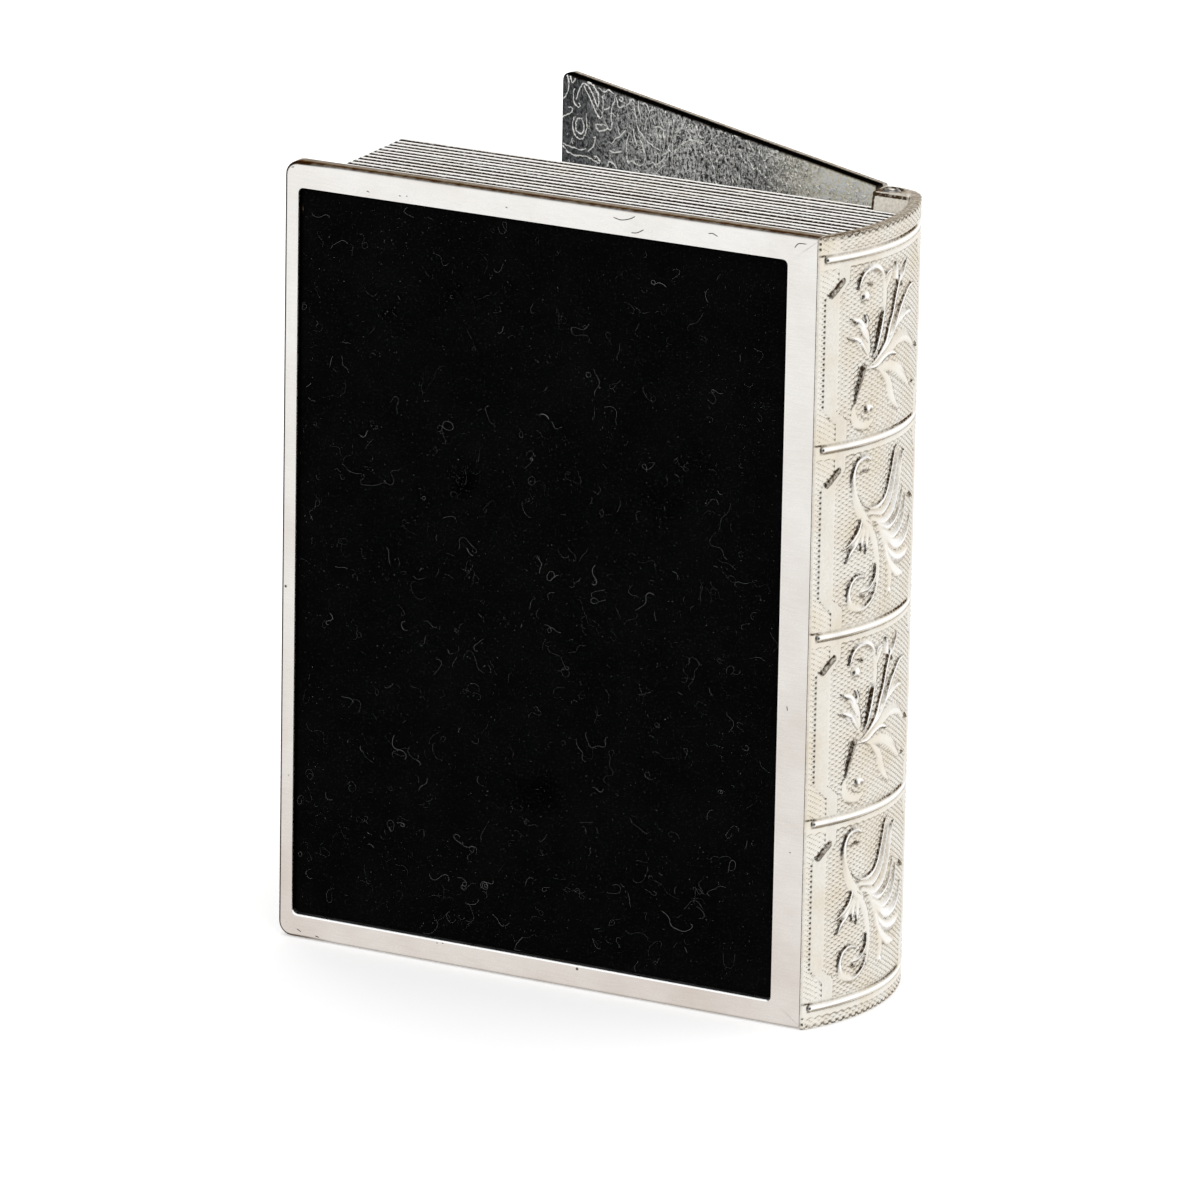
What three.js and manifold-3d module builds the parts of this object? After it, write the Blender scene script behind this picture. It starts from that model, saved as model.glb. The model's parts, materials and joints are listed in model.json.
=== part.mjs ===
// Book-shaped keepsake box in silver-plated cast metal, lined with velvet, in millimetres.
// It stands on its tail edge: +Z runs up to the head, +X from the fore-edge to the spine, and
// +Y from the back cover to the lid. The lid stands part of the way open. The origin is the
// middle of the back cover's tail edge.
import * as THREE from 'three';
import { mergeVertices } from 'three/addons/utils/BufferGeometryUtils.js';
import Module from 'manifold-3d';

// Whole book
const BOOK_HEIGHT = 100;
const COVER_WIDTH = 72.9;
const CLOSED_DEPTH = 27.3;
const SEAM = 0.1;

// Back cover and the velvet panel in its recess
const COVER_THICKNESS = 2.4;
const COVER_CORNER_RADIUS = 1;
const BORDER_FORE_EDGE = 1.45;
const BORDER_SPINE = 4;
const BORDER_ENDS = 2.9;
const RECESS_DEPTH = 1.5;
const BACK_BOARD_THICKNESS = 0.5;
const BACK_VELVET_THICKNESS = 0.4;
const PANEL_GAP = 0.3;

// Ridged walls that look like the edges of leaves
const PAGE_INSET_FORE_EDGE = 2.9;
const PAGE_INSET_ENDS = 2.15;
const PAGE_WALL = 1.3;
const RIDGE_HEIGHT = 0.45;
const RIDGE_COUNT = 17;
const LID_CLEARANCE = 0.4;

// Spine
const SPINE_CROWN = 3.9;
const SPINE_STEP = 0.5;
const SPINE_THICKNESS = 1.4;
const SPINE_CORNER_RADIUS = 5;
const SHELL_GAP = 0.3;
const BAND_COUNT = 5;
const BAND_END_INSET = 2.7;
const BAND_HALF_WIDTH = 0.5;
const BAND_HEIGHT = 0.5;
const BAND_TIP_LENGTH = 1.3;
const BAND_SIDE_INSET = 0.15;
const RIBBON_HEIGHT = 0.22;
const RIBBON_EDGE = 0.75;
const RIBBON_WIDTH = 1.65;
const NECK_EDGE = 2.45;
const NECK_WIDTH = 1.35;
const NECK_HALF_LENGTH = 3;
const CHAMFER_LENGTH = 1.9;
const INNER_WALL_THICKNESS = 1.2;
const INNER_WALL_INSET = 5.2;

// Lid and hinge
const LID_THICKNESS = 1.8;
const LID_REST_ANGLE = THREE.MathUtils.degToRad(27.7);
const LID_OPEN_ANGLE = THREE.MathUtils.degToRad(110);
const BARREL_RADIUS = 1.6;
const PIN_INSET = 2.6;
const HINGE_RUNNING_GAP = 0.35;
const HINGE_SETBACK = 2.9;
const BOSS_HEIGHT = 5;
const BOSS_DEPTH = 4;
const BOSS_REACH = 1.7;
const BOSS_CORNER_RADIUS = 1;
const PIN_RADIUS = 0.8;
const PIN_LENGTH = 11.5;
const PIN_CLEARANCE = 0.1;
const PIN_HEAD_RADIUS = 1.25;
const PIN_HEAD_HEIGHT = 0.6;
const BORE_END_GAP = 0.5;

// Lining of the inside
const FLOOR_BOARD_THICKNESS = 0.6;
const FLOOR_VELVET_THICKNESS = 0.5;
const LINING_THICKNESS = 0.9;
const LINING_GAP = 0.3;
const LINING_BELOW_RIM = 1.6;

// Facets on the round shapes, and how far a cutter runs past what it cuts
const ARC_STEPS = 28;
const CORNER_STEPS = 6;
const ROUND_SIDES = 24;
const BAND_SIDES = 8;
const CUT_PAST = 1;

// Places that follow from the sizes
const RIM = CLOSED_DEPTH - LID_THICKNESS - LID_CLEARANCE;
const PIN_X = COVER_WIDTH - PIN_INSET;
const PIN_Y = CLOSED_DEPTH - BARREL_RADIUS;
const LEDGE_Y = CLOSED_DEPTH - BOSS_DEPTH;
const HALF_DEPTH = CLOSED_DEPTH / 2;
const SPINE_RADIUS = (HALF_DEPTH ** 2 + SPINE_CROWN ** 2) / (2 * SPINE_CROWN);
const SPINE_CENTRE_X = COVER_WIDTH + SPINE_STEP + SPINE_CROWN - SPINE_RADIUS;
const SHELL_INNER_RADIUS = SPINE_RADIUS - SPINE_THICKNESS;
const PAGE_SOLID = RIDGE_HEIGHT + PAGE_WALL;
const INSIDE_FORE_EDGE = PAGE_INSET_FORE_EDGE + PAGE_SOLID;
const INSIDE_SPINE = COVER_WIDTH - INNER_WALL_INSET;
const INSIDE_END = PAGE_INSET_ENDS + PAGE_SOLID;
const FLOOR_TOP = COVER_THICKNESS + FLOOR_BOARD_THICKNESS + FLOOR_VELVET_THICKNESS;

const wasm = await Module();
wasm.setup();

// Closed solid for joining and cutting
function toSolid(geometry) {
  const bare = geometry.clone();
  bare.deleteAttribute('normal');
  bare.deleteAttribute('uv');
  const merged = mergeVertices(bare, 1e-5);
  return new wasm.Manifold(new wasm.Mesh({
    numProp: 3,
    vertProperties: new Float32Array(merged.attributes.position.array),
    triVerts: new Uint32Array(merged.index.array),
  }));
}

function toGeometry(solid) {
  const mesh = solid.getMesh();
  const geometry = new THREE.BufferGeometry();
  geometry.setAttribute('position', new THREE.BufferAttribute(new Float32Array(mesh.vertProperties), 3));
  geometry.setIndex(new THREE.BufferAttribute(new Uint32Array(mesh.triVerts), 1));
  geometry.computeVertexNormals();
  return geometry;
}

// Closed mesh from corner points and faces, turned so that its faces point outwards
function closedMesh(points, faces) {
  let volume = 0;
  for (const [a, b, c] of faces) {
    volume += points[a].dot(new THREE.Vector3().crossVectors(points[b], points[c]));
  }
  const turned = volume < 0 ? faces.map(([a, b, c]) => [a, c, b]) : faces;
  const geometry = new THREE.BufferGeometry().setFromPoints(points);
  geometry.setIndex(turned.flat());
  geometry.computeVertexNormals();
  return geometry;
}

// Plan outline in x and y, raised along z
function extrudeUp(shape, zLow, zHigh) {
  const settings = { depth: zHigh - zLow, bevelEnabled: false, curveSegments: ARC_STEPS };
  return new THREE.ExtrudeGeometry(shape, settings).translate(0, 0, zLow);
}

// Front outline in x and z, thickened along y
function extrudeAcross(shape, yLow, yHigh) {
  const settings = { depth: yHigh - yLow, bevelEnabled: false, curveSegments: CORNER_STEPS };
  return new THREE.ExtrudeGeometry(shape, settings).rotateX(Math.PI / 2).translate(0, yHigh, 0);
}

function box(xLow, xHigh, yLow, yHigh, zLow, zHigh) {
  const geometry = new THREE.BoxGeometry(xHigh - xLow, yHigh - yLow, zHigh - zLow);
  return geometry.translate((xLow + xHigh) / 2, (yLow + yHigh) / 2, (zLow + zHigh) / 2);
}

// Round bar along z; radiusHigh differs from radiusLow on a cone
function bar(radiusLow, radiusHigh, x, y, zLow, zHigh) {
  const geometry = new THREE.CylinderGeometry(radiusHigh, radiusLow, zHigh - zLow, ROUND_SIDES);
  return geometry.rotateX(Math.PI / 2).translate(x, y, (zLow + zHigh) / 2);
}

// Cover outline, with its two fore-edge corners rounded
function coverOutline(xFree, xSpine) {
  const r = COVER_CORNER_RADIUS;
  const shape = new THREE.Shape();
  shape.moveTo(xSpine, 0);
  shape.lineTo(xSpine, BOOK_HEIGHT);
  shape.lineTo(xFree + r, BOOK_HEIGHT);
  shape.absarc(xFree + r, BOOK_HEIGHT - r, r, Math.PI / 2, Math.PI, false);
  shape.lineTo(xFree, r);
  shape.absarc(xFree + r, r, r, Math.PI, 1.5 * Math.PI, false);
  return shape;
}

function backCover() {
  const plate = toSolid(extrudeAcross(coverOutline(0, COVER_WIDTH), 0, COVER_THICKNESS));
  const recess = toSolid(box(
    BORDER_FORE_EDGE, COVER_WIDTH - BORDER_SPINE,
    -CUT_PAST, RECESS_DEPTH,
    BORDER_ENDS, BOOK_HEIGHT - BORDER_ENDS,
  ));
  return toGeometry(plate.subtract(recess));
}

// Flat panel that fills the recess between two depths, with a gap all round
function recessPanel(yLow, yHigh) {
  return box(
    BORDER_FORE_EDGE + PANEL_GAP, COVER_WIDTH - BORDER_SPINE - PANEL_GAP,
    yLow, yHigh,
    BORDER_ENDS + PANEL_GAP, BOOK_HEIGHT - BORDER_ENDS - PANEL_GAP,
  );
}

// Section of a ridged wall, as pairs of y and depth below the crests
function ridgedSection() {
  const pitch = (RIM - COVER_THICKNESS) / RIDGE_COUNT;
  // Groove, shoulder, crest, shoulder: place along the ridge and depth, both as shares
  const shoulders = [[0, 1], [0.17, 0.35], [0.5, 0], [0.83, 0.35]];
  const section = [];
  for (let ridge = 0; ridge < RIDGE_COUNT; ridge += 1) {
    for (const [along, depth] of shoulders) {
      section.push([COVER_THICKNESS + (ridge + along) * pitch, depth * RIDGE_HEIGHT]);
    }
  }
  section.push([RIM, RIDGE_HEIGHT]);
  section.push([RIM, PAGE_SOLID]);
  section.push([COVER_THICKNESS, PAGE_SOLID]);
  return section;
}

// Ridged wall between two ends, each a function from a section pair to a point
function ridgedWall(firstEnd, lastEnd) {
  const section = ridgedSection();
  const count = section.length;
  const points = [...section.map(firstEnd), ...section.map(lastEnd)];
  const faces = [];
  for (let i = 0; i < count; i += 1) {
    const next = (i + 1) % count;
    faces.push([i, next, count + next], [i, count + next, count + i]);
  }
  const outline = section.map(([y, depth]) => new THREE.Vector2(y, depth));
  const wanted = THREE.ShapeUtils.isClockWise(outline);
  for (const [a, b, c] of THREE.ShapeUtils.triangulateShape(outline, [])) {
    const sameTurn = THREE.ShapeUtils.isClockWise([outline[a], outline[b], outline[c]]) === wanted;
    const [p, q] = sameTurn ? [b, c] : [c, b];
    faces.push([a, q, p], [count + a, count + p, count + q]);
  }
  return closedMesh(points, faces);
}

const headPoint = (x, y, depth) => new THREE.Vector3(x, y, BOOK_HEIGHT - PAGE_INSET_ENDS - depth);
const tailPoint = (x, y, depth) => new THREE.Vector3(x, y, PAGE_INSET_ENDS + depth);

function foreEdgePages() {
  return ridgedWall(
    ([y, depth]) => tailPoint(PAGE_INSET_FORE_EDGE + depth, y, depth),
    ([y, depth]) => headPoint(PAGE_INSET_FORE_EDGE + depth, y, depth),
  );
}

// Wall at the head or the tail, mitred to the fore-edge and cut to fit inside the spine
function endPages(point) {
  const wall = ridgedWall(
    ([y, depth]) => point(PAGE_INSET_FORE_EDGE + depth, y, depth),
    ([y, depth]) => point(COVER_WIDTH + SPINE_CROWN, y, depth),
  );
  const fit = new THREE.Shape();
  const reach = SHELL_INNER_RADIUS - SHELL_GAP;
  const rise = HALF_DEPTH - COVER_THICKNESS;
  const turn = Math.asin(rise / reach);
  fit.moveTo(0, COVER_THICKNESS - rise);
  fit.lineTo(SPINE_CENTRE_X, COVER_THICKNESS - rise);
  fit.absarc(SPINE_CENTRE_X, HALF_DEPTH, reach, -turn, turn, false);
  fit.lineTo(SPINE_CENTRE_X, CLOSED_DEPTH + rise);
  fit.lineTo(0, CLOSED_DEPTH + rise);
  const bossRoom = box(
    PIN_X - BOSS_REACH - SHELL_GAP, COVER_WIDTH + 2 * SPINE_CROWN,
    LEDGE_Y - SHELL_GAP, 2 * CLOSED_DEPTH,
    0, BOOK_HEIGHT,
  );
  const fitted = toSolid(wall).intersect(toSolid(extrudeUp(fit, 0, BOOK_HEIGHT)));
  return toGeometry(fitted.subtract(toSolid(bossRoom)));
}

// Angle on the spine's arc, from its middle, where it reaches a given y
function arcAngle(radius, y) {
  return Math.asin((y - HALF_DEPTH) / radius);
}

// The spine's face runs on its arc from the back cover to a rounded corner at the hinge
const cornerReach = SPINE_RADIUS - SPINE_CORNER_RADIUS;
const cornerY = CLOSED_DEPTH - SPINE_CORNER_RADIUS;
const faceStart = arcAngle(SPINE_RADIUS, 0);
const faceEnd = arcAngle(cornerReach, cornerY);
const faceEndY = HALF_DEPTH + SPINE_RADIUS * Math.sin(faceEnd);
const cornerX = SPINE_CENTRE_X + cornerReach * Math.cos(faceEnd);

// Outline up to and round the outer face, from the joint with the back cover to the flat at the hinge
function outerCurve() {
  const shape = new THREE.Shape();
  shape.moveTo(COVER_WIDTH + SEAM, 0);
  shape.absarc(SPINE_CENTRE_X, HALF_DEPTH, SPINE_RADIUS, faceStart, faceEnd, false);
  shape.absarc(cornerX, cornerY, SPINE_CORNER_RADIUS, faceEnd, Math.PI / 2, false);
  return shape;
}

function shellOutline() {
  const innerEnd = -Math.acos((COVER_WIDTH + SEAM - SPINE_CENTRE_X) / SHELL_INNER_RADIUS);
  const shape = outerCurve();
  const ledge = arcAngle(SHELL_INNER_RADIUS, LEDGE_Y);
  shape.absarc(SPINE_CENTRE_X, HALF_DEPTH, SHELL_INNER_RADIUS, ledge, innerEnd, true);
  return shape;
}

// Solid block round the hinge pin, between the ledge and the outer curve
function boss(zLow, zHigh) {
  const left = PIN_X - BOSS_REACH;
  const r = BOSS_CORNER_RADIUS;
  const shape = outerCurve();
  shape.lineTo(left + r, CLOSED_DEPTH);
  shape.absarc(left + r, CLOSED_DEPTH - r, r, Math.PI / 2, Math.PI, false);
  shape.lineTo(left, 0);
  const behindLedge = box(0, 2 * COVER_WIDTH, LEDGE_Y, 2 * CLOSED_DEPTH, -CUT_PAST, BOOK_HEIGHT + CUT_PAST);
  return toSolid(extrudeUp(shape, zLow, zHigh)).intersect(toSolid(behindLedge));
}

// Room for the barrel and for the lid at its widest opening, between the two bosses
function lidRoom() {
  const reach = BARREL_RADIUS + HINGE_RUNNING_GAP;
  const along = new THREE.Vector2(-Math.cos(LID_OPEN_ANGLE), Math.sin(LID_OPEN_ANGLE));
  const outward = new THREE.Vector2(Math.sin(LID_OPEN_ANGLE), Math.cos(LID_OPEN_ANGLE));
  const corner = (outwards, onwards) => new THREE.Vector2(PIN_X, PIN_Y)
    .addScaledVector(outward, outwards)
    .addScaledVector(along, onwards);
  const plate = new THREE.Shape([
    corner(reach, 0),
    corner(reach, 2 * BOSS_DEPTH),
    corner(-reach, 2 * BOSS_DEPTH),
    corner(-reach, 0),
  ]);
  const low = BOSS_HEIGHT;
  const high = BOOK_HEIGHT - BOSS_HEIGHT;
  const round = toSolid(bar(reach, reach, PIN_X, PIN_Y, low, high));
  return round.add(toSolid(extrudeUp(plate, low, high)));
}

// Band heights, evenly spaced between the two end bands
function bandHeights() {
  const pitch = (BOOK_HEIGHT - 2 * BAND_END_INSET) / (BAND_COUNT - 1);
  return Array.from({ length: BAND_COUNT }, (_, i) => BAND_END_INSET + i * pitch);
}

// Half-round raised band along the spine, drawn out to a point at both ends
function band(z) {
  const start = arcAngle(SPINE_RADIUS, BAND_SIDE_INSET);
  const end = arcAngle(SPINE_RADIUS, faceEndY - BAND_SIDE_INSET);
  const step = (faceEnd - faceStart) / ARC_STEPS;
  const turns = Array.from({ length: ARC_STEPS }, (_, i) => faceStart + i * step)
    .filter((turn) => turn > start + step / 4 && turn < end - step / 4);
  const ringPoint = (turn, size, around) => {
    const radius = SPINE_RADIUS + BAND_HEIGHT * size * Math.cos(around);
    return new THREE.Vector3(
      SPINE_CENTRE_X + radius * Math.cos(turn),
      HALF_DEPTH + radius * Math.sin(turn),
      z + BAND_HALF_WIDTH * size * Math.sin(around),
    );
  };
  const points = [ringPoint(start, 0, 0)];
  const faces = [];
  for (const turn of turns) {
    const fromTip = Math.min(Math.min(turn - start, end - turn) * SPINE_RADIUS / BAND_TIP_LENGTH, 1);
    for (let j = 0; j < BAND_SIDES; j += 1) {
      points.push(ringPoint(turn, Math.sqrt(1 - (1 - fromTip) ** 2), 2 * Math.PI * j / BAND_SIDES));
    }
  }
  const last = points.push(ringPoint(end, 0, 0)) - 1;
  const at = (ring, side) => 1 + ring * BAND_SIDES + (side % BAND_SIDES);
  for (let j = 0; j < BAND_SIDES; j += 1) {
    faces.push([0, at(0, j + 1), at(0, j)]);
    for (let i = 0; i < turns.length - 1; i += 1) {
      faces.push([at(i, j), at(i, j + 1), at(i + 1, j + 1)], [at(i, j), at(i + 1, j + 1), at(i + 1, j)]);
    }
    faces.push([last, at(turns.length - 1, j), at(turns.length - 1, j + 1)]);
  }
  return closedMesh(points, faces);
}

// Smooth ribbon that frames the panels: wide of the middle beside a panel, drawn in at each band
function ribbonOutline() {
  const wide = [];
  const inner = [];
  for (const z of bandHeights()) {
    const steps = [
      [z - NECK_HALF_LENGTH - CHAMFER_LENGTH, RIBBON_EDGE, RIBBON_WIDTH],
      [z - NECK_HALF_LENGTH, NECK_EDGE, NECK_WIDTH],
      [z + NECK_HALF_LENGTH, NECK_EDGE, NECK_WIDTH],
      [z + NECK_HALF_LENGTH + CHAMFER_LENGTH, RIBBON_EDGE, RIBBON_WIDTH],
    ];
    for (const [height, edge, width] of steps) {
      wide.push(new THREE.Vector2(edge, height));
      inner.push(new THREE.Vector2(edge + width, height));
    }
  }
  const ends = [BAND_END_INSET + NECK_HALF_LENGTH, BOOK_HEIGHT - BAND_END_INSET - NECK_HALF_LENGTH];
  const kept = (point) => point.y >= ends[0] && point.y <= ends[1];
  return [...wide.filter(kept), ...inner.filter(kept).reverse()];
}

// The two ribbons, raised a little above the spine's ground
function ribbons() {
  const sleeve = new THREE.Shape();
  const outer = SPINE_RADIUS + RIBBON_HEIGHT;
  const middle = SPINE_RADIUS - SPINE_THICKNESS / 2;
  sleeve.absarc(SPINE_CENTRE_X, HALF_DEPTH, outer, faceStart, faceEnd, false);
  sleeve.absarc(SPINE_CENTRE_X, HALF_DEPTH, middle, faceEnd, faceStart, true);
  const sector = toSolid(extrudeUp(sleeve, 0, BOOK_HEIGHT));
  const outline = ribbonOutline();
  const mirrored = outline.map((point) => new THREE.Vector2(faceEndY - point.x, point.y));
  const settings = { depth: 2 * SPINE_RADIUS, bevelEnabled: false };
  const strips = [outline, mirrored].map((points) => {
    const strip = new THREE.ExtrudeGeometry(new THREE.Shape(points), settings);
    // The outline's own x and y become y and z, and its depth becomes x
    strip.applyMatrix4(new THREE.Matrix4().makeBasis(
      new THREE.Vector3(0, 1, 0), new THREE.Vector3(0, 0, 1), new THREE.Vector3(1, 0, 0),
    ));
    return toSolid(strip.translate(SPINE_CENTRE_X, 0, 0));
  });
  return sector.intersect(strips[0].add(strips[1]));
}

// Hole through a boss, with its countersink at the outer end of the book
function pinHole(atHead) {
  const hole = PIN_RADIUS + PIN_CLEARANCE;
  const mouth = PIN_HEAD_RADIUS + PIN_CLEARANCE;
  const through = BOSS_HEIGHT + CUT_PAST;
  const shaft = atHead ? [BOOK_HEIGHT - through, BOOK_HEIGHT + CUT_PAST] : [-CUT_PAST, through];
  const deep = PIN_HEAD_HEIGHT + PIN_CLEARANCE;
  const sink = atHead
    ? bar(hole, mouth, PIN_X, PIN_Y, BOOK_HEIGHT - deep, BOOK_HEIGHT)
    : bar(mouth, hole, PIN_X, PIN_Y, 0, deep);
  return toSolid(bar(hole, hole, PIN_X, PIN_Y, ...shaft)).add(toSolid(sink));
}

function spineShell() {
  let solid = toSolid(extrudeUp(shellOutline(), 0, BOOK_HEIGHT)).subtract(lidRoom());
  solid = solid.add(boss(0, BOSS_HEIGHT)).add(boss(BOOK_HEIGHT - BOSS_HEIGHT, BOOK_HEIGHT));
  solid = solid.add(ribbons());
  for (const z of bandHeights()) {
    solid = solid.add(toSolid(band(z)));
  }
  return toGeometry(solid.subtract(pinHole(true)).subtract(pinHole(false)));
}

// Pin with a countersunk head, its outer face flush with the end of the book
function hingePin(atHead) {
  const tip = atHead ? BOOK_HEIGHT - PIN_LENGTH : PIN_LENGTH;
  const end = atHead ? BOOK_HEIGHT : 0;
  const neck = atHead ? BOOK_HEIGHT - PIN_HEAD_HEIGHT : PIN_HEAD_HEIGHT;
  const profile = [
    new THREE.Vector2(0, tip),
    new THREE.Vector2(PIN_RADIUS, tip),
    new THREE.Vector2(PIN_RADIUS, neck),
    new THREE.Vector2(PIN_HEAD_RADIUS, end),
    new THREE.Vector2(0, end),
  ];
  if (!atHead) profile.reverse();
  return new THREE.LatheGeometry(profile, ROUND_SIDES).rotateX(Math.PI / 2).translate(PIN_X, PIN_Y, 0);
}

// Lid about its hinge axis, closed, with its free edge towards -X
function lid() {
  const outer = CLOSED_DEPTH - PIN_Y;
  const plateOutline = coverOutline(-PIN_X, -HINGE_SETBACK);
  const plate = toSolid(extrudeAcross(plateOutline, outer - LID_THICKNESS, outer));
  const low = BOSS_HEIGHT + HINGE_RUNNING_GAP;
  const high = BOOK_HEIGHT - low;
  const web = toSolid(box(-HINGE_SETBACK - CUT_PAST, 0, outer - LID_THICKNESS, outer, low, high));
  const barrel = toSolid(bar(BARREL_RADIUS, BARREL_RADIUS, 0, 0, low, high));
  const hole = PIN_RADIUS + PIN_CLEARANCE;
  const depth = PIN_LENGTH + BORE_END_GAP;
  const bores = toSolid(bar(hole, hole, 0, 0, 0, depth))
    .add(toSolid(bar(hole, hole, 0, 0, BOOK_HEIGHT - depth, BOOK_HEIGHT)));
  return toGeometry(plate.add(web).add(barrel).subtract(bores));
}

// Lining strips stand on the floor pad and end a little below the rim
function lining(xLow, xHigh, zLow, zHigh) {
  return box(xLow, xHigh, FLOOR_TOP + LINING_GAP, RIM - LINING_BELOW_RIM, zLow, zHigh);
}

function floorLayer(yLow, yHigh) {
  return box(
    INSIDE_FORE_EDGE + LINING_GAP, INSIDE_SPINE - LINING_GAP,
    yLow, yHigh,
    INSIDE_END + LINING_GAP, BOOK_HEIGHT - INSIDE_END - LINING_GAP,
  );
}

const plated = (color, roughness) => () => new THREE.MeshStandardMaterial({ color, roughness, metalness: 1 });
const cloth = (color) => () => new THREE.MeshStandardMaterial({ color, roughness: 0.95, metalness: 0 });
const finishes = {
  satinPlate: plated(0xe6e0dc, 0.3),
  castPlate: plated(0xe4ded0, 0.35),
  darkPlate: plated(0x8d8f90, 0.4),
  pinMetal: plated(0xc9c4bb, 0.35),
  velvet: cloth(0x08090a),
  card: cloth(0xb9a888),
};

const book = new THREE.Group();
book.position.set(-COVER_WIDTH / 2, -COVER_THICKNESS / 2, 0);

function addPiece(parent, name, geometry, finish) {
  const mesh = new THREE.Mesh(geometry, finishes[finish]());
  mesh.name = name;
  parent.add(mesh);
}

const boardLow = RECESS_DEPTH - BACK_BOARD_THICKNESS;
addPiece(book, 'back_cover', backCover(), 'satinPlate');
addPiece(book, 'back_board', recessPanel(boardLow, RECESS_DEPTH), 'card');
addPiece(book, 'back_velvet', recessPanel(boardLow - BACK_VELVET_THICKNESS, boardLow), 'velvet');
addPiece(book, 'fore_edge_pages', foreEdgePages(), 'castPlate');
addPiece(book, 'head_pages', endPages(headPoint), 'castPlate');
addPiece(book, 'tail_pages', endPages(tailPoint), 'castPlate');
addPiece(book, 'spine_shell', spineShell(), 'castPlate');
addPiece(book, 'spine_inner_wall', box(
  INSIDE_SPINE, INSIDE_SPINE + INNER_WALL_THICKNESS,
  COVER_THICKNESS, LEDGE_Y - SHELL_GAP,
  INSIDE_END, BOOK_HEIGHT - INSIDE_END,
), 'castPlate');
addPiece(book, 'head_hinge_pin', hingePin(true), 'pinMetal');
addPiece(book, 'tail_hinge_pin', hingePin(false), 'pinMetal');

const boardTop = COVER_THICKNESS + FLOOR_BOARD_THICKNESS;
const liningEnd = INSIDE_END + LINING_GAP;
const besideSides = LINING_THICKNESS + 2 * LINING_GAP;
addPiece(book, 'floor_board', floorLayer(COVER_THICKNESS, boardTop), 'card');
addPiece(book, 'floor_velvet', floorLayer(boardTop, FLOOR_TOP), 'velvet');
addPiece(book, 'fore_edge_lining', lining(
  INSIDE_FORE_EDGE + LINING_GAP, INSIDE_FORE_EDGE + LINING_GAP + LINING_THICKNESS,
  liningEnd, BOOK_HEIGHT - liningEnd,
), 'velvet');
addPiece(book, 'spine_lining', lining(
  INSIDE_SPINE - LINING_GAP - LINING_THICKNESS, INSIDE_SPINE - LINING_GAP,
  liningEnd, BOOK_HEIGHT - liningEnd,
), 'velvet');
addPiece(book, 'tail_lining', lining(
  INSIDE_FORE_EDGE + besideSides, INSIDE_SPINE - besideSides,
  liningEnd, liningEnd + LINING_THICKNESS,
), 'velvet');
addPiece(book, 'head_lining', lining(
  INSIDE_FORE_EDGE + besideSides, INSIDE_SPINE - besideSides,
  BOOK_HEIGHT - liningEnd - LINING_THICKNESS, BOOK_HEIGHT - liningEnd,
), 'velvet');

const lidGroup = new THREE.Group();
lidGroup.position.set(PIN_X, PIN_Y, 0);
lidGroup.rotation.z = -LID_REST_ANGLE;
addPiece(lidGroup, 'lid', lid(), 'darkPlate');
book.add(lidGroup);

export default book;
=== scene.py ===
"""Looks of the book-shaped keepsake box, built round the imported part.

Shapes are worked out in book millimetres, the part's own coordinates before its origin is moved:
x runs from the fore-edge to the spine, y from the velvet back cover to the lid and z from tail to
head. BookFrame turns them into the row frame's metres.
"""

import json
import logging
import math
from collections.abc import Callable
from dataclasses import dataclass, field, replace
from enum import Enum

import bmesh
import bpy
import numpy as np
from bpy.types import Material, Node, NodeTree, Object
from mathutils import Matrix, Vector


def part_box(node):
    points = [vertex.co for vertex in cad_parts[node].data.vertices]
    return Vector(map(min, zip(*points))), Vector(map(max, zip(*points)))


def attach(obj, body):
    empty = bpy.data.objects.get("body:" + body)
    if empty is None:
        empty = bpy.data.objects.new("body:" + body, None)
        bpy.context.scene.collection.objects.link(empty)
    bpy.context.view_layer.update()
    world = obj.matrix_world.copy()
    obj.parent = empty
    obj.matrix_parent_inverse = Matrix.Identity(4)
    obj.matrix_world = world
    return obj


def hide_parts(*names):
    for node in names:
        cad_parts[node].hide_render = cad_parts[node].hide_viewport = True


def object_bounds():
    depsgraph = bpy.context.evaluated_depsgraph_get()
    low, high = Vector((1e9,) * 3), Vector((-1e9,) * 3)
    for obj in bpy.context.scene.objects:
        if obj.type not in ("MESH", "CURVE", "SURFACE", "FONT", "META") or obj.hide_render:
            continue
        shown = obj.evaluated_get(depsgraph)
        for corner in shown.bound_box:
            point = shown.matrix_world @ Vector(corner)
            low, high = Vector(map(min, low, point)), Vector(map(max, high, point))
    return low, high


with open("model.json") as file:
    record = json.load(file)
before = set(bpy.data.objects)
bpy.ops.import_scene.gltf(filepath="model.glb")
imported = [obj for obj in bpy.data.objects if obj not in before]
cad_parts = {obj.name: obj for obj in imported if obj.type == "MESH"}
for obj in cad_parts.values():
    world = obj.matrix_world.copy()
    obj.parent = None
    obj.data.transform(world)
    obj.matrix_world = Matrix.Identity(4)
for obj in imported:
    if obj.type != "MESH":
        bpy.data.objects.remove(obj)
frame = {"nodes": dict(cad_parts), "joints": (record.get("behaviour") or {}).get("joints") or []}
CAD_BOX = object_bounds()

logging.basicConfig(level=logging.INFO, format="%(message)s")
log = logging.getLogger("keepsake_box")

MM = 0.001


class Section(Enum):
    """How a carved stroke is shaped across its width."""

    ROUND = "round"
    FLAT = "flat"
    GROOVE = "groove"


# Small geometry helpers


def smoothstep(low: float, high: float, value: np.ndarray) -> np.ndarray:
    """Eases from 0 at low to 1 at high.

    Args:
        low: Value at which the result starts to rise.
        high: Value at which the result reaches 1.
        value: Numbers to ease.

    Returns:
        Numbers from 0 to 1, in the shape of value.
    """
    share = np.clip((value - low) / (high - low), 0, 1)
    return share * share * (3 - 2 * share)


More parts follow.
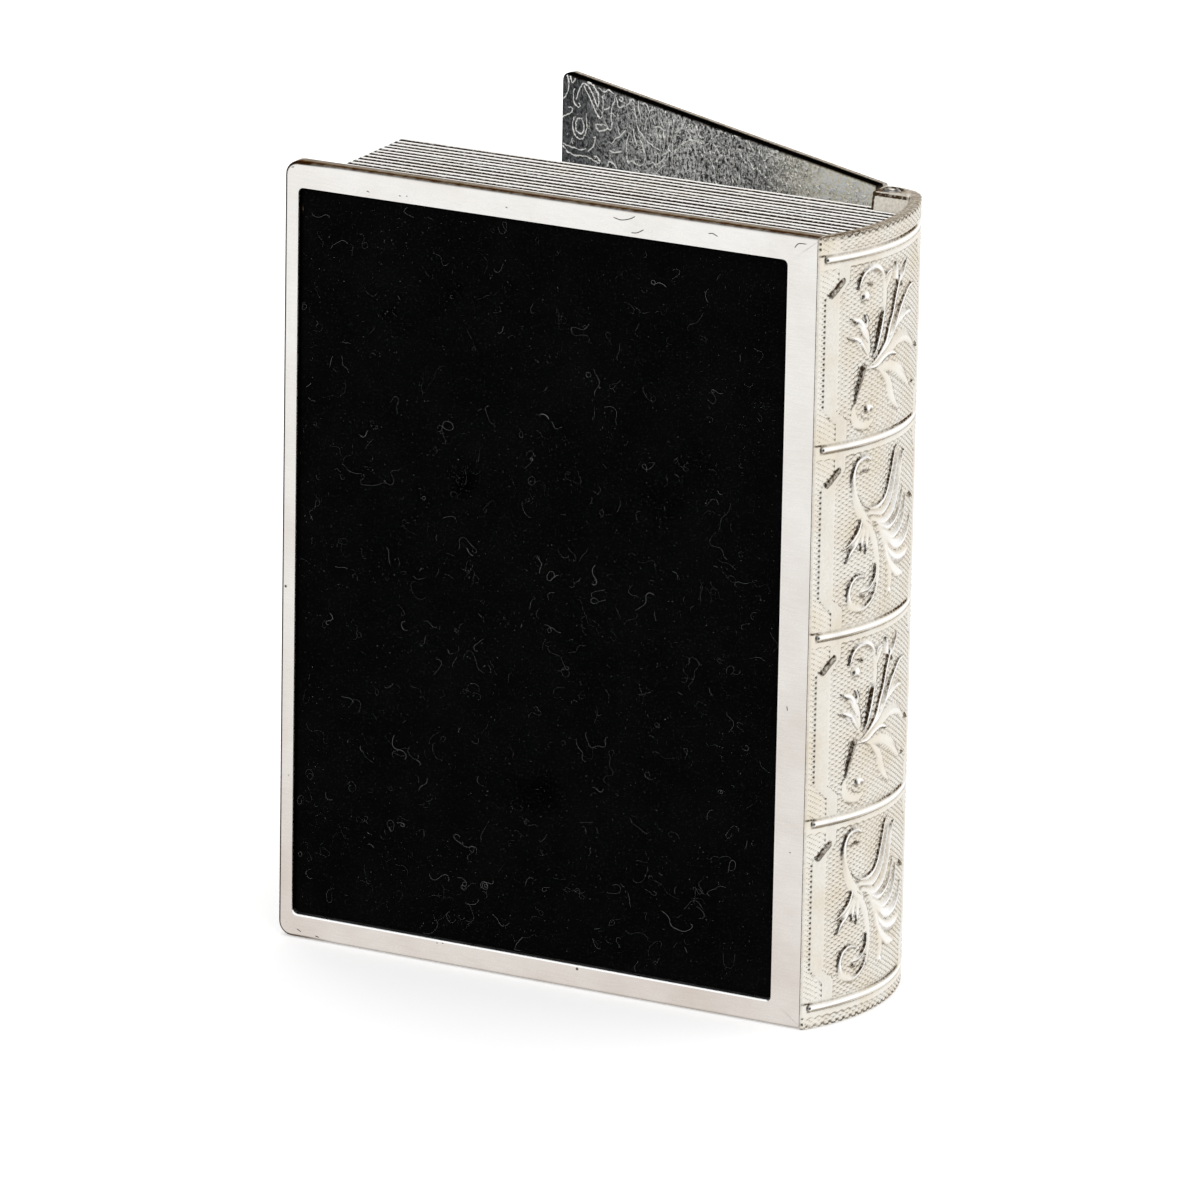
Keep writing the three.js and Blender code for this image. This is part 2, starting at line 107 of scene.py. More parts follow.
def smooth_path(points: np.ndarray, per_span: int) -> np.ndarray:
    """Draws a smooth curve through points.

    Args:
        points: Rows of coordinates, in order. Extra columns, such as widths, are eased too.
        per_span: Steps between one point and the next.

    Returns:
        Rows on a Catmull-Rom curve, the given points among them.
    """
    padded = np.vstack([2 * points[0] - points[1], points, 2 * points[-1] - points[-2]])
    share = np.arange(per_span)[:, None] / per_span
    spans = []
    for before, start, end, after in zip(padded, padded[1:], padded[2:], padded[3:]):
        spans.append(0.5 * (
            2 * start
            + (end - before) * share
            + (2 * before - 5 * start + 4 * end - after) * share**2
            + (3 * start - before - 3 * end + after) * share**3
        ))
    return np.vstack([*spans, points[-1:]])


def blurred(grid: np.ndarray, cells: float) -> np.ndarray:
    """Softens a grid of numbers with a bell curve.

    Args:
        grid: Numbers on a regular grid.
        cells: The bell curve's spread in grid cells.

    Returns:
        The softened grid.
    """
    reach = int(3 * cells) + 1
    bell = np.exp(-0.5 * (np.arange(-reach, reach + 1) / cells) ** 2)
    bell /= bell.sum()
    for axis in (0, 1):
        margin = [(reach, reach) if axis == side else (0, 0) for side in (0, 1)]
        padded = np.pad(grid, margin, mode="edge")
        grid = np.apply_along_axis(np.convolve, axis, padded, bell, mode="valid")
    return grid


def wander(rng: np.random.Generator, count: int, smoothness: float) -> np.ndarray:
    """Makes a smooth random line.

    Args:
        rng: Seeded source of random numbers.
        count: How many numbers to make.
        smoothness: Spread, in steps, over which neighbours are alike.

    Returns:
        Numbers with a mean near 0 and a spread near 1.
    """
    reach = int(3 * smoothness) + 1
    bell = np.exp(-0.5 * (np.arange(-reach, reach + 1) / smoothness) ** 2)
    bell /= np.sqrt((bell**2).sum())
    return np.convolve(rng.standard_normal(count + 2 * reach), bell, mode="valid")


@dataclass(frozen=True)
class BookFrame:
    """The part's main sizes in book millimetres, read from the frame."""

    origin: tuple[float, float, float]
    width: float
    thickness: float
    height: float
    pin_x: float
    pin_y: float
    rest_turn: float
    open_turn: float

    @classmethod
    def read(cls) -> "BookFrame":
        """Reads the cover's corner and sizes and the lid's hinge from the frame."""
        low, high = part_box("back_cover")
        size = (high - low) / MM
        hinge = frame["joints"][0]
        closed, opened = hinge["range_deg"]
        return cls(
            origin=tuple(low),
            width=size.x,
            thickness=size.y,
            height=size.z,
            pin_x=(hinge["pos_m"][0] - low.x) / MM,
            pin_y=(hinge["pos_m"][1] - low.y) / MM,
            rest_turn=math.radians(-closed),
            open_turn=math.radians(opened - closed),
        )

    def to_row(self, points: np.ndarray) -> np.ndarray:
        """Turns book millimetres into the row frame's metres."""
        return np.asarray(points, float) * MM + np.array(self.origin)

    def box_of(self, node: str) -> tuple[np.ndarray, np.ndarray]:
        """Gives a CAD node's lowest and highest corners in book millimetres."""
        low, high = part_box(node)
        return tuple((np.array(corner) - np.array(self.origin)) / MM for corner in (low, high))

    def lid_to_book(self, points: np.ndarray) -> np.ndarray:
        """Swings points of the closed lid, measured from its pin, to where it rests.

        Args:
            points: Rows of x, y and z in millimetres, x and y from the pin.

        Returns:
            The points in book millimetres with the lid part of the way open.
        """
        turn = self.rest_turn
        x, y, z = np.moveaxis(np.asarray(points, float), -1, 0)
        return np.stack([
            self.pin_x + x * math.cos(turn) + y * math.sin(turn),
            self.pin_y - x * math.sin(turn) + y * math.cos(turn),
            z,
        ], -1)


BOOK = BookFrame.read()


def make_piece(name: str, points: np.ndarray, faces: list) -> Object:
    """Makes a mesh object from points in book millimetres.

    Args:
        name: The piece's name.
        points: Rows of x, y and z in book millimetres.
        faces: Corner numbers of each face.

    Returns:
        The new object, linked to the scene, shaded smoothly, with its faces turned outwards.
    """
    mesh = bpy.data.meshes.new(name)
    mesh.from_pydata(BOOK.to_row(points).tolist(), [], faces)
    solid = bmesh.new()
    solid.from_mesh(mesh)
    if solid.calc_volume(signed=True) < 0:
        bmesh.ops.reverse_faces(solid, faces=solid.faces)
        solid.to_mesh(mesh)
    solid.free()
    mesh.shade_smooth()
    piece = bpy.data.objects.new(name, mesh)
    bpy.context.scene.collection.objects.link(piece)
    return piece


def skin(number: np.ndarray) -> list:
    """Gives the faces between loops of points, from each loop's point numbers in a row."""
    beside = np.roll(number, -1, axis=1)
    return np.stack([number[:-1], beside[:-1], beside[1:], number[1:]], -1).reshape(-1, 4).tolist()


def loft(name: str, stations: np.ndarray, folded: bool = False) -> Object:
    """Skins closed loops into one closed solid.

    Args:
        name: The piece's name.
        stations: Loops by points by x, y and z, in book millimetres.
        folded: Whether each loop goes out and comes back beside itself, so that its two caps can
            follow a curved end.

    Returns:
        The solid, with a cap on its first and last loops.
    """
    count, around = stations.shape[:2]
    number = np.arange(count * around).reshape(count, around)
    faces = skin(number)
    if folded:
        out, home = number[:, :around // 2], number[:, around // 2:][:, ::-1]
        for loop, ahead, behind in ((0, out, home), (-1, home, out)):
            strip = [ahead[loop, 1:], ahead[loop, :-1], behind[loop, :-1], behind[loop, 1:]]
            faces.extend(np.stack(strip, -1).tolist())
    else:
        faces.extend([number[0, ::-1].tolist(), number[-1].tolist()])
    return make_piece(name, stations.reshape(-1, 3), faces)


def paint(piece: Object, name: str, values: np.ndarray) -> None:
    """Stores one number for each point of a piece, which its material reads by name."""
    layer = piece.data.attributes.new(name, "FLOAT", "POINT")
    layer.data.foreach_set("value", np.asarray(values, np.float32).ravel())


def combine(piece: Object, other: Object, operation: str) -> None:
    """Joins a solid to a piece, or cuts it out, and removes the solid.

    Args:
        piece: The solid that stays.
        other: The solid that is used up.
        operation: UNION or DIFFERENCE.
    """
    step = piece.modifiers.new(operation.title(), "BOOLEAN")
    step.operation = operation
    step.solver = "MANIFOLD"
    step.object = other
    with bpy.context.temp_override(object=piece, active_object=piece):
        bpy.ops.object.modifier_apply(modifier=step.name)
    bpy.data.objects.remove(other)


def crisp(piece: Object, degrees: float) -> None:
    """Keeps edges sharper than an angle crisp under smooth shading."""
    piece.data.set_sharp_from_angle(angle=math.radians(degrees))


def arc(centre: tuple, radius: float, start: float, end: float, steps: int) -> np.ndarray:
    """Points on an arc in plan.

    Args:
        centre: Its x and y.
        radius: Its radius.
        start: First angle in radians.
        end: Last angle in radians.
        steps: Number of steps between them.

    Returns:
        Rows of x and y, both ends included.
    """
    turn = np.linspace(start, end, steps + 1)
    return np.stack([centre[0] + radius * np.cos(turn), centre[1] + radius * np.sin(turn)], -1)


def circle(count: int) -> np.ndarray:
    """Angles of points spaced evenly round a circle, in radians."""
    return np.arange(count) * 2 * math.pi / count


def turned(centre: tuple, profile: list, sides: int = 32) -> np.ndarray:
    """Draws the loops of a form turned round an upright axis.

    Args:
        centre: The axis's x and y.
        profile: Pairs of radius and z.
        sides: Points round each loop.

    Returns:
        Loops by points by x, y and z.
    """
    x, y = np.cos(circle(sides)), np.sin(circle(sides))
    return np.array([
        np.stack([centre[0] + radius * x, centre[1] + radius * y, np.full(sides, z)], -1)
        for radius, z in profile])


def rounded_loop(low: tuple, high: tuple, radii: tuple, steps: int = 6, sides: int = 12) -> np.ndarray:
    """Rectangle with rounded corners, as a loop with the same number of points at any size.

    Args:
        low: Its lowest x and z.
        high: Its highest x and z.
        radii: Corner radii, anticlockwise from the corner at low x and low z.
        steps: Steps round each corner.
        sides: Steps along each straight side.

    Returns:
        Rows of x and z.
    """
    corners = [
        (low[0], low[1], 1, 1), (high[0], low[1], -1, 1),
        (high[0], high[1], -1, -1), (low[0], high[1], 1, -1)]
    arcs = []
    for turn, ((x, z, right, up), radius) in enumerate(zip(corners, radii)):
        start = math.pi + turn * math.pi / 2
        arcs.append(arc((x + right * radius, z + up * radius), radius, start, start + math.pi / 2, steps))
    loop = []
    for here, there in zip(arcs, arcs[1:] + arcs[:1]):
        share = np.linspace(0, 1, sides + 1)[1:-1, None]
        loop.extend([here, here[-1] + (there[0] - here[-1]) * share])
    return np.vstack(loop)


def easing(radius: float, steps: int = 4) -> list[tuple[float, float]]:
    """Steps of a rounded edge, as pairs of inset and depth, from the face to the side."""
    turns = np.linspace(0, math.pi / 2, steps + 1)
    return [(radius * (1 - math.sin(turn)), radius * (1 - math.cos(turn))) for turn in turns]


@dataclass
class Bars:
    """Thin round bars, such as fibres, scratches or raised lines, gathered for one mesh."""

    sides: int
    points: list = field(default_factory=list)
    faces: list = field(default_factory=list)
    count: int = 0

    def add(self, path: np.ndarray, radius: np.ndarray) -> int:
        """Adds a bar along a path.

        Args:
            path: Rows of x, y and z.
            radius: Its radius at each row.

        Returns:
            How many points it has.
        """
        along = np.gradient(path, axis=0)
        along /= np.linalg.norm(along, axis=1)[:, None] + 1e-9
        # Each ring is turned by an axis that no bar runs along
        aside = np.cross(along, np.array([0.02, 1.0, 0.03]))
        aside /= np.linalg.norm(aside, axis=1)[:, None] + 1e-9
        upward = np.cross(aside, along)
        turn = circle(self.sides)
        ring = aside[:, None] * np.cos(turn)[None, :, None] + upward[:, None] * np.sin(turn)[None, :, None]
        points = (path[:, None] + ring * radius[:, None, None]).reshape(-1, 3)
        number = np.arange(self.count, self.count + len(points)).reshape(-1, self.sides)
        self.points.append(points)
        self.faces += [*skin(number), number[0, ::-1].tolist(), number[-1].tolist()]
        self.count += len(points)
        return len(points)


# Materials

# A Mix node's settings for colours, and its inputs
COLOURS = {"data_type": "RGBA"}
SHARE = 0
FIRST = 6
SECOND = 7
WHITE = "#FFFFFF"


def linear(colour: str) -> tuple[float, float, float, float]:
    """Turns an sRGB hex colour into linear numbers with full alpha."""
    parts = [int(colour[i:i + 2], 16) / 255 for i in (1, 3, 5)]
    return (*(p / 12.92 if p <= 0.04045 else ((p + 0.055) / 1.055) ** 2.4 for p in parts), 1.0)


def add_node(
        tree: NodeTree, kind: str | Node, settings: dict | None = None, links: dict | None = None) -> Node:
    """Adds a node with its settings and links, or gives them to one that the tree has.

    Args:
        tree: The node tree.
        kind: The node's type name without ShaderNode, or the node that is there.
        settings: Values by property or input name, colours as sRGB hex. A list under "ramp" holds
            pairs of position and colour.
        links: What goes to each input: an output, or a node for the first output it uses.

    Returns:
        The node.
    """
    node = tree.nodes.new("ShaderNode" + kind) if isinstance(kind, str) else kind
    for name, value in (settings or {}).items():
        if name == "ramp":
            stops = node.color_ramp.elements
            while len(stops) < len(value):
                stops.new(0.5)
            for stop, (position, colour) in zip(stops, value):
                stop.position = position
                stop.color = linear(colour)
        elif isinstance(name, str) and hasattr(node, name):
            setattr(node, name, value)
        else:
            is_colour = isinstance(value, str)
            node.inputs[name].default_value = linear(value) if is_colour else value
    for name, source in (links or {}).items():
        if isinstance(source, Node):
            source = next(output for output in source.outputs if output.enabled)
        tree.links.new(source, node.inputs[name])
    return node


def new_material(name: str) -> tuple[Material, NodeTree, Node, dict]:
    """Starts a material.

    Args:
        name: Its name.

    Returns:
        The material, its node tree, its Principled shader, and the link that gives a pattern the
        piece's own coordinates.
    """
    material = bpy.data.materials.new(name)
    material.use_nodes = True
    tree = material.node_tree
    here = {"Vector": add_node(tree, "TexCoord").outputs["Object"]}
    return material, tree, tree.nodes["Principled BSDF"], here


@dataclass(frozen=True)
class CastSilverPlate:
    """Silver plate on a textured casting, with polishing and a painted highlight on its high places.

    The plate is warm white. Brown patina stays in the hollows that a polishing cloth misses, the same
    brown paints shade on steep flanks and in creases, and both mirror dully where they are seen nearly
    edge-on. Fine casting grain keeps the shine soft.
    """

    name: str = "cast_silver_plate"
    plate: str = "#ECE8DF"
    warm: str = "#E4DAC8"
    tarnish: str = "#43331F"
    polish_and_highlight: str = WHITE
    dull_edge: str = "#B9A384"
    roughness: float = 0.24
    # The sand's own grain is about 0.05 mm. It is drawn coarser, so that it shows as a soft shine.
    grain_mm: float = 0.12
    speck_mm: float = 0.35
    cloud_mm: float = 5.0

    def material(self) -> Material:
        """Builds the material, which reads a piece's painted patina and shade, and its polishing and
        painted highlights.
        """
        made, tree, shader, here = new_material(self.name)
        stain_and_shade = add_node(tree, "Attribute", {"attribute_name": "tarnish"}).outputs["Fac"]
        rub_and_highlight = add_node(tree, "Attribute", {"attribute_name": "rubbed"}).outputs["Fac"]
        cloud = add_node(tree, "TexNoise", {"Scale": 1 / (self.cloud_mm * MM), "Detail": 4}, here)
        speck = add_node(tree, "TexNoise", {"Scale": 1 / (self.speck_mm * MM), "Detail": 3}, here)
        grain = add_node(tree, "TexNoise", {"Scale": 1 / (self.grain_mm * MM), "Detail": 2}, here)
        mottled = add_node(
            tree, "ValToRGB", {"ramp": [(0.38, self.plate), (0.72, self.warm)]}, {"Fac": cloud})
        # Polishing and a painted highlight whiten the crests
        bright = add_node(tree, "Mix", {**COLOURS, SECOND: self.polish_and_highlight}, {SHARE: rub_and_highlight, FIRST: mottled})
        uneven = add_node(
            tree, "MapRange", {"From Min": 0.36, "From Max": 0.64, "To Min": 0.6, "To Max": 1.4},
            {"Value": speck})
        # Patina and painted shade darken the colour
        amount = add_node(tree, "Math", {"operation": "MULTIPLY", "use_clamp": True}, {0: stain_and_shade, 1: uneven})
        colour = add_node(tree, "Mix", {**COLOURS, SECOND: self.tarnish}, {SHARE: amount, FIRST: bright})
        shine = add_node(
            tree, "MapRange", {"To Min": self.roughness, "To Max": self.roughness + 0.3}, {"Value": amount})
        bump = add_node(tree, "Bump", {"Strength": 0.12, "Distance": 0.02 * MM}, {"Height": grain})
        tint = add_node(tree, "Mix", {**COLOURS, FIRST: WHITE, SECOND: self.dull_edge}, {SHARE: amount})
        add_node(tree, shader, {"Metallic": 1.0}, {
            "Base Color": colour, "Specular Tint": tint, "Roughness": shine, "Normal": bump})
        return made


@dataclass(frozen=True)
class SatinSilverPlate:
    """Silver plate on a flat casting, with a satin shine from rubbing.

    It mirrors the pale surroundings softly, with a painted reflection that turns it pinkish grey towards
    the tail, faint rubbing lines along the border, and small dark pits that go through the plate. A
    painted highlight whitens the recess's bevelled edge at the tail, its edges carry darker strips, and
    one recess wall carries painted shade.
    """

    name: str = "satin_silver_plate"
    plate: str = "#ECEAE6"
    tail_reflection: str = "#CDC3BB"
    polish_and_highlight: str = WHITE
    pit: str = "#3B322B"
    tarnish: str = "#2E2012"
    dull_edge: str = "#B9A384"
    roughness: float = 0.27
    # Rubbing lines are about 0.03 mm wide. They are drawn coarser, so that they soften the shine.
    line_mm: float = 0.25
    line_stretch: float = 0.12
    ripple_mm: float = 2.6
    mottle_mm: float = 1.1
    cloud_mm: float = 14.0
    pit_mm: float = 5.5

    def material(self) -> Material:
        """Builds the material, which reads a piece's painted patina, shade and highlights."""
        made, tree, shader, here = new_material(self.name)
        stain_and_shade = add_node(tree, "Attribute", {"attribute_name": "tarnish"}).outputs["Fac"]
        rub_and_highlight = add_node(tree, "Attribute", {"attribute_name": "rubbed"}).outputs["Fac"]
        # Painted reflection: pinkish grey towards the tail, with random variation
        height = add_node(
            tree, "MapRange",
            {"From Min": CAD_BOX[0].z, "From Max": CAD_BOX[1].z, "To Min": 0.75, "To Max": 0.05},
            {"Value": add_node(tree, "SeparateXYZ", links=here).outputs["Z"]})
        cloud = add_node(
            tree, "TexNoise", {"Scale": 1 / (self.cloud_mm * MM), "Detail": 5, "Roughness": 0.6}, here)
        spread = add_node(
            tree, "MapRange", {"From Min": 0.3, "From Max": 0.7, "To Min": -0.25, "To Max": 0.25},
            {"Value": cloud})
        tail_reflection_share = add_node(tree, "Math", {"operation": "ADD", "use_clamp": True}, {0: height, 1: spread})
        tone = add_node(tree, "Mix", {**COLOURS, FIRST: self.plate, SECOND: self.tail_reflection}, {SHARE: tail_reflection_share})
        cells = add_node(tree, "TexVoronoi", {"Scale": 1 / (self.pit_mm * MM)}, here)
        pits = add_node(
            tree, "MapRange", {"From Min": 0.02, "From Max": 0.045, "To Min": 1.0, "To Max": 0.0},
            {"Value": cells})
        pitted = add_node(tree, "Mix", {**COLOURS, SECOND: self.pit}, {SHARE: pits, FIRST: tone})
        mottle = add_node(
            tree, "TexNoise", {"Scale": 1 / (self.mottle_mm * MM), "Detail": 4, "Roughness": 0.65}, here)
        uneven = add_node(
            tree, "MapRange", {"From Min": 0.3, "From Max": 0.65, "To Min": 0.88, "To Max": 1.1},
            {"Value": mottle})
        edge = add_node(tree, "Math", {"operation": "MULTIPLY", "use_clamp": True}, {0: stain_and_shade, 1: uneven})
        stained = add_node(tree, "Mix", {**COLOURS, SECOND: self.tarnish}, {SHARE: edge, FIRST: pitted})
        colour = add_node(tree, "Mix", {**COLOURS, SECOND: self.polish_and_highlight}, {SHARE: rub_and_highlight, FIRST: stained})
        stretched = add_node(tree, "Mapping", {"Scale": (self.line_stretch, 1, 1)}, here)
        lines = add_node(
            tree, "TexNoise", {"Scale": 1 / (self.line_mm * MM), "Detail": 3}, {"Vector": stretched})
        shine = add_node(
            tree, "MapRange",
            {"From Min": 0.3, "From Max": 0.7, "To Min": self.roughness - 0.04,
             "To Max": self.roughness + 0.07},
            {"Value": lines})
        ripple = add_node(
            tree, "TexNoise", {"Scale": 1 / (self.ripple_mm * MM), "Detail": 3}, {"Vector": stretched})
        bump = add_node(tree, "Bump", {"Strength": 0.25, "Distance": 0.05 * MM}, {"Height": ripple})
        tint = add_node(tree, "Mix", {**COLOURS, FIRST: WHITE, SECOND: self.dull_edge}, {SHARE: edge})
        add_node(tree, shader, {"Metallic": 1.0}, {
            "Base Color": colour, "Specular Tint": tint, "Roughness": shine, "Normal": bump})
        return made


@dataclass(frozen=True)
class StampedPlate:
    """Inside of a stamped plate, thinly plated and left unpolished.

    It is a darker grey silver with a fine stipple. A painted reflection makes it lighter, calmer and
    warmer towards the hinge and darker towards the free edge. It is brown in the corners, and its
    raised lines are painted near white, as polishing and painted highlight.
    """

    name: str = "stamped_plate"
    dark: str = "#46484A"
    light: str = "#B2B2B0"
    warm: str = "#F6EED6"
    rubbed: str = "#FFFEFA"
    tarnish: str = "#17130E"
    dull_edge: str = "#30281F"
    roughness: float = 0.3
    # The stipple's dots are about 0.2 mm apart. They are drawn coarser, so that they show.
    stipple_mm: float = 0.42
    stipple_depth_mm: float = 0.16

    def material(self) -> Material:
        """Builds the material, which reads painted patina and shade, and the lines' polishing and painted
        highlights.
        """
        made, tree, shader, here = new_material(self.name)
        stain_and_shade = add_node(tree, "Attribute", {"attribute_name": "tarnish"}).outputs["Fac"]
        rub_and_highlight = add_node(tree, "Attribute", {"attribute_name": "rubbed"}).outputs["Fac"]
        stipple = add_node(
            tree, "TexNoise", {"Scale": 1 / (self.stipple_mm * MM), "Detail": 4, "Roughness": 0.7},
            here)
        # Painted reflection: lighter, warmer and calmer towards the hinge, darker towards the free edge
        near_hinge = add_node(
            tree, "MapRange", {"From Min": CAD_BOX[0].x + 6 * MM, "From Max": CAD_BOX[0].x + 66 * MM},
            {"Value": add_node(tree, "SeparateXYZ", links=here).outputs["X"]})
        painted_reflection_tones = [(0.08, self.dark), (0.42, self.light), (0.68, self.light), (0.88, self.warm)]
        along = add_node(tree, "ValToRGB", {"ramp": painted_reflection_tones}, {"Fac": near_hinge})
        calm = add_node(tree, "MapRange", {"From Min": 0.62, "From Max": 0.85}, {"Value": near_hinge})
        shade = add_node(
            tree, "MapRange", {"From Min": 0.43, "From Max": 0.58, "To Max": 1.75},
            {"Value": stipple, "To Min": calm})
        ground = add_node(
            tree, "Mix", {**COLOURS, "blend_type": "MULTIPLY", SHARE: 1.0}, {FIRST: along, SECOND: shade})
        stained = add_node(tree, "Mix", {**COLOURS, SECOND: self.tarnish}, {SHARE: stain_and_shade, FIRST: ground})
        colour = add_node(tree, "Mix", {**COLOURS, SECOND: self.rubbed}, {SHARE: rub_and_highlight, FIRST: stained})
        bump = add_node(
            tree, "Bump", {"Strength": 1.0, "Distance": self.stipple_depth_mm * MM}, {"Height": stipple})
        tint = add_node(tree, "Mix", {**COLOURS, FIRST: WHITE, SECOND: self.dull_edge}, {SHARE: stain_and_shade})
        add_node(tree, shader, {"Metallic": 1.0, "Roughness": self.roughness}, {
            "Base Color": colour, "Specular Tint": tint, "Normal": bump})
        return made


@dataclass(frozen=True)
class PeenedSteel:
    """Mild steel pin whose end was hammered over: bright dents that have browned at their edges."""

    name: str = "peened_steel"
    bright: str = "#F4F0E8"
    browned: str = "#1E1712"
    roughness: float = 0.3
    dent_mm: float = 0.7

    def material(self) -> Material:
        """Builds the material."""
        made, tree, shader, here = new_material(self.name)
        dents = add_node(
            tree, "TexVoronoi", {"Scale": 1 / (self.dent_mm * MM), "feature": "SMOOTH_F1"}, here)
        colour = add_node(
            tree, "ValToRGB", {"ramp": [(0.22, self.bright), (0.5, self.browned)]}, {"Fac": dents})
        bump = add_node(tree, "Bump", {"Strength": 0.8, "Distance": 0.1 * MM}, {"Height": dents})
        add_node(tree, shader, {"Metallic": 1.0, "Roughness": self.roughness}, {
            "Base Color": colour, "Normal": bump})
        return made


@dataclass(frozen=True)
class BlackVelvet:
    """Short-pile cotton velvet, woven and dyed black.

    Its pile swallows nearly all light. A faint painted sheen lies where the nap is swept aside, and
    painted glints sit on the pile's tips.
    """

    name: str = "black_velvet"
    dye: str = "#030303"
    painted_sheen: str = "#070707"
    painted_glint: str = "#111111"
    roughness: float = 0.95
    nap_mm: float = 9.0
    # The pile's tufts are about 0.1 mm apart. They are drawn coarser, so that the painted glints on their
    # tips just show.
    pile_mm: float = 0.22

    def material(self) -> Material:
        """Builds the material."""
        made, tree, shader, here = new_material(self.name)
        nap = add_node(
            tree, "TexNoise", {"Scale": 1 / (self.nap_mm * MM), "Detail": 6, "Roughness": 0.65}, here)
        # Painted sheen where the nap turns
        colour = add_node(
            tree, "ValToRGB", {"ramp": [(0.42, self.dye), (0.75, self.painted_sheen)]}, {"Fac": nap})
        pile = add_node(tree, "TexNoise", {"Scale": 1 / (self.pile_mm * MM), "Detail": 2}, here)
        # Painted glints on the pile's tips
        painted_glints = add_node(tree, "ValToRGB", {"ramp": [(0.57, "#000000"), (0.72, self.painted_glint)]}, {"Fac": pile})
        with_glints = add_node(
            tree, "Mix", {**COLOURS, "blend_type": "ADD", SHARE: 1.0}, {FIRST: colour, SECOND: painted_glints})
        bump = add_node(tree, "Bump", {"Strength": 0.6, "Distance": 0.15 * MM}, {"Height": pile})
        add_node(
            tree, shader,
            {"Roughness": self.roughness, "Specular IOR Level": 0.02, "Sheen Weight": 0.004,
             "Sheen Roughness": 0.4},
            {"Base Color": with_glints, "Normal": bump})
        return made


@dataclass(frozen=True)
class CottonLint:
    """Loose cotton fibres and dust, undyed and matt, greyer in some places than in others."""

    name: str = "cotton_lint"
    fibre: str = "#6E7072"
    dusty: str = "#A3A5A5"
    roughness: float = 0.9
    patch_mm: float = 6.0

    def material(self) -> Material:
        """Builds the material."""
        made, tree, shader, here = new_material(self.name)
        patch = add_node(tree, "TexNoise", {"Scale": 1 / (self.patch_mm * MM)}, here)
        colour = add_node(
            tree, "ValToRGB", {"ramp": [(0.4, self.fibre), (0.7, self.dusty)]}, {"Fac": patch})
        add_node(tree, shader, {"Roughness": self.roughness}, {"Base Color": colour})
        return made


@dataclass(frozen=True)
class GreyCard:
    """Pressed grey card under the velvet, rough and fibrous at its cut edges."""

    name: str = "grey_card"
    pulp: str = "#9C8F78"
    fleck: str = "#6F6452"
    roughness: float = 0.9
    # Pulp fibres are about 0.03 mm wide. They are drawn coarser, so that they show as flecks.
    fibre_mm: float = 0.5

    def material(self) -> Material:
        """Builds the material."""
        made, tree, shader, here = new_material(self.name)
        fibres = add_node(tree, "TexNoise", {"Scale": 1 / (self.fibre_mm * MM), "Detail": 5}, here)
        colour = add_node(
            tree, "ValToRGB", {"ramp": [(0.35, self.fleck), (0.6, self.pulp)]}, {"Fac": fibres})
        bump = add_node(tree, "Bump", {"Strength": 0.5, "Distance": 0.05 * MM}, {"Height": fibres})
        add_node(tree, shader, {"Roughness": self.roughness}, {"Base Color": colour, "Normal": bump})
        return made


def dress(piece: Object, material: Material, body: str, slot: str, *nodes: str) -> None:
    """Finishes a piece and ties it to the frame.

    Args:
        piece: The new object.
        material: Its material.
        body: The CAD body that it rides on.
        slot: The record's material slot; not used.
        nodes: The CAD nodes that it stands for.
    """
    piece.data.materials.clear()
    piece.data.materials.append(material)
    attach(piece, body)
    if nodes:
        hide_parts(*nodes)
    log.info("%s: %d faces", piece.name, len(piece.data.polygons))


# Back cover


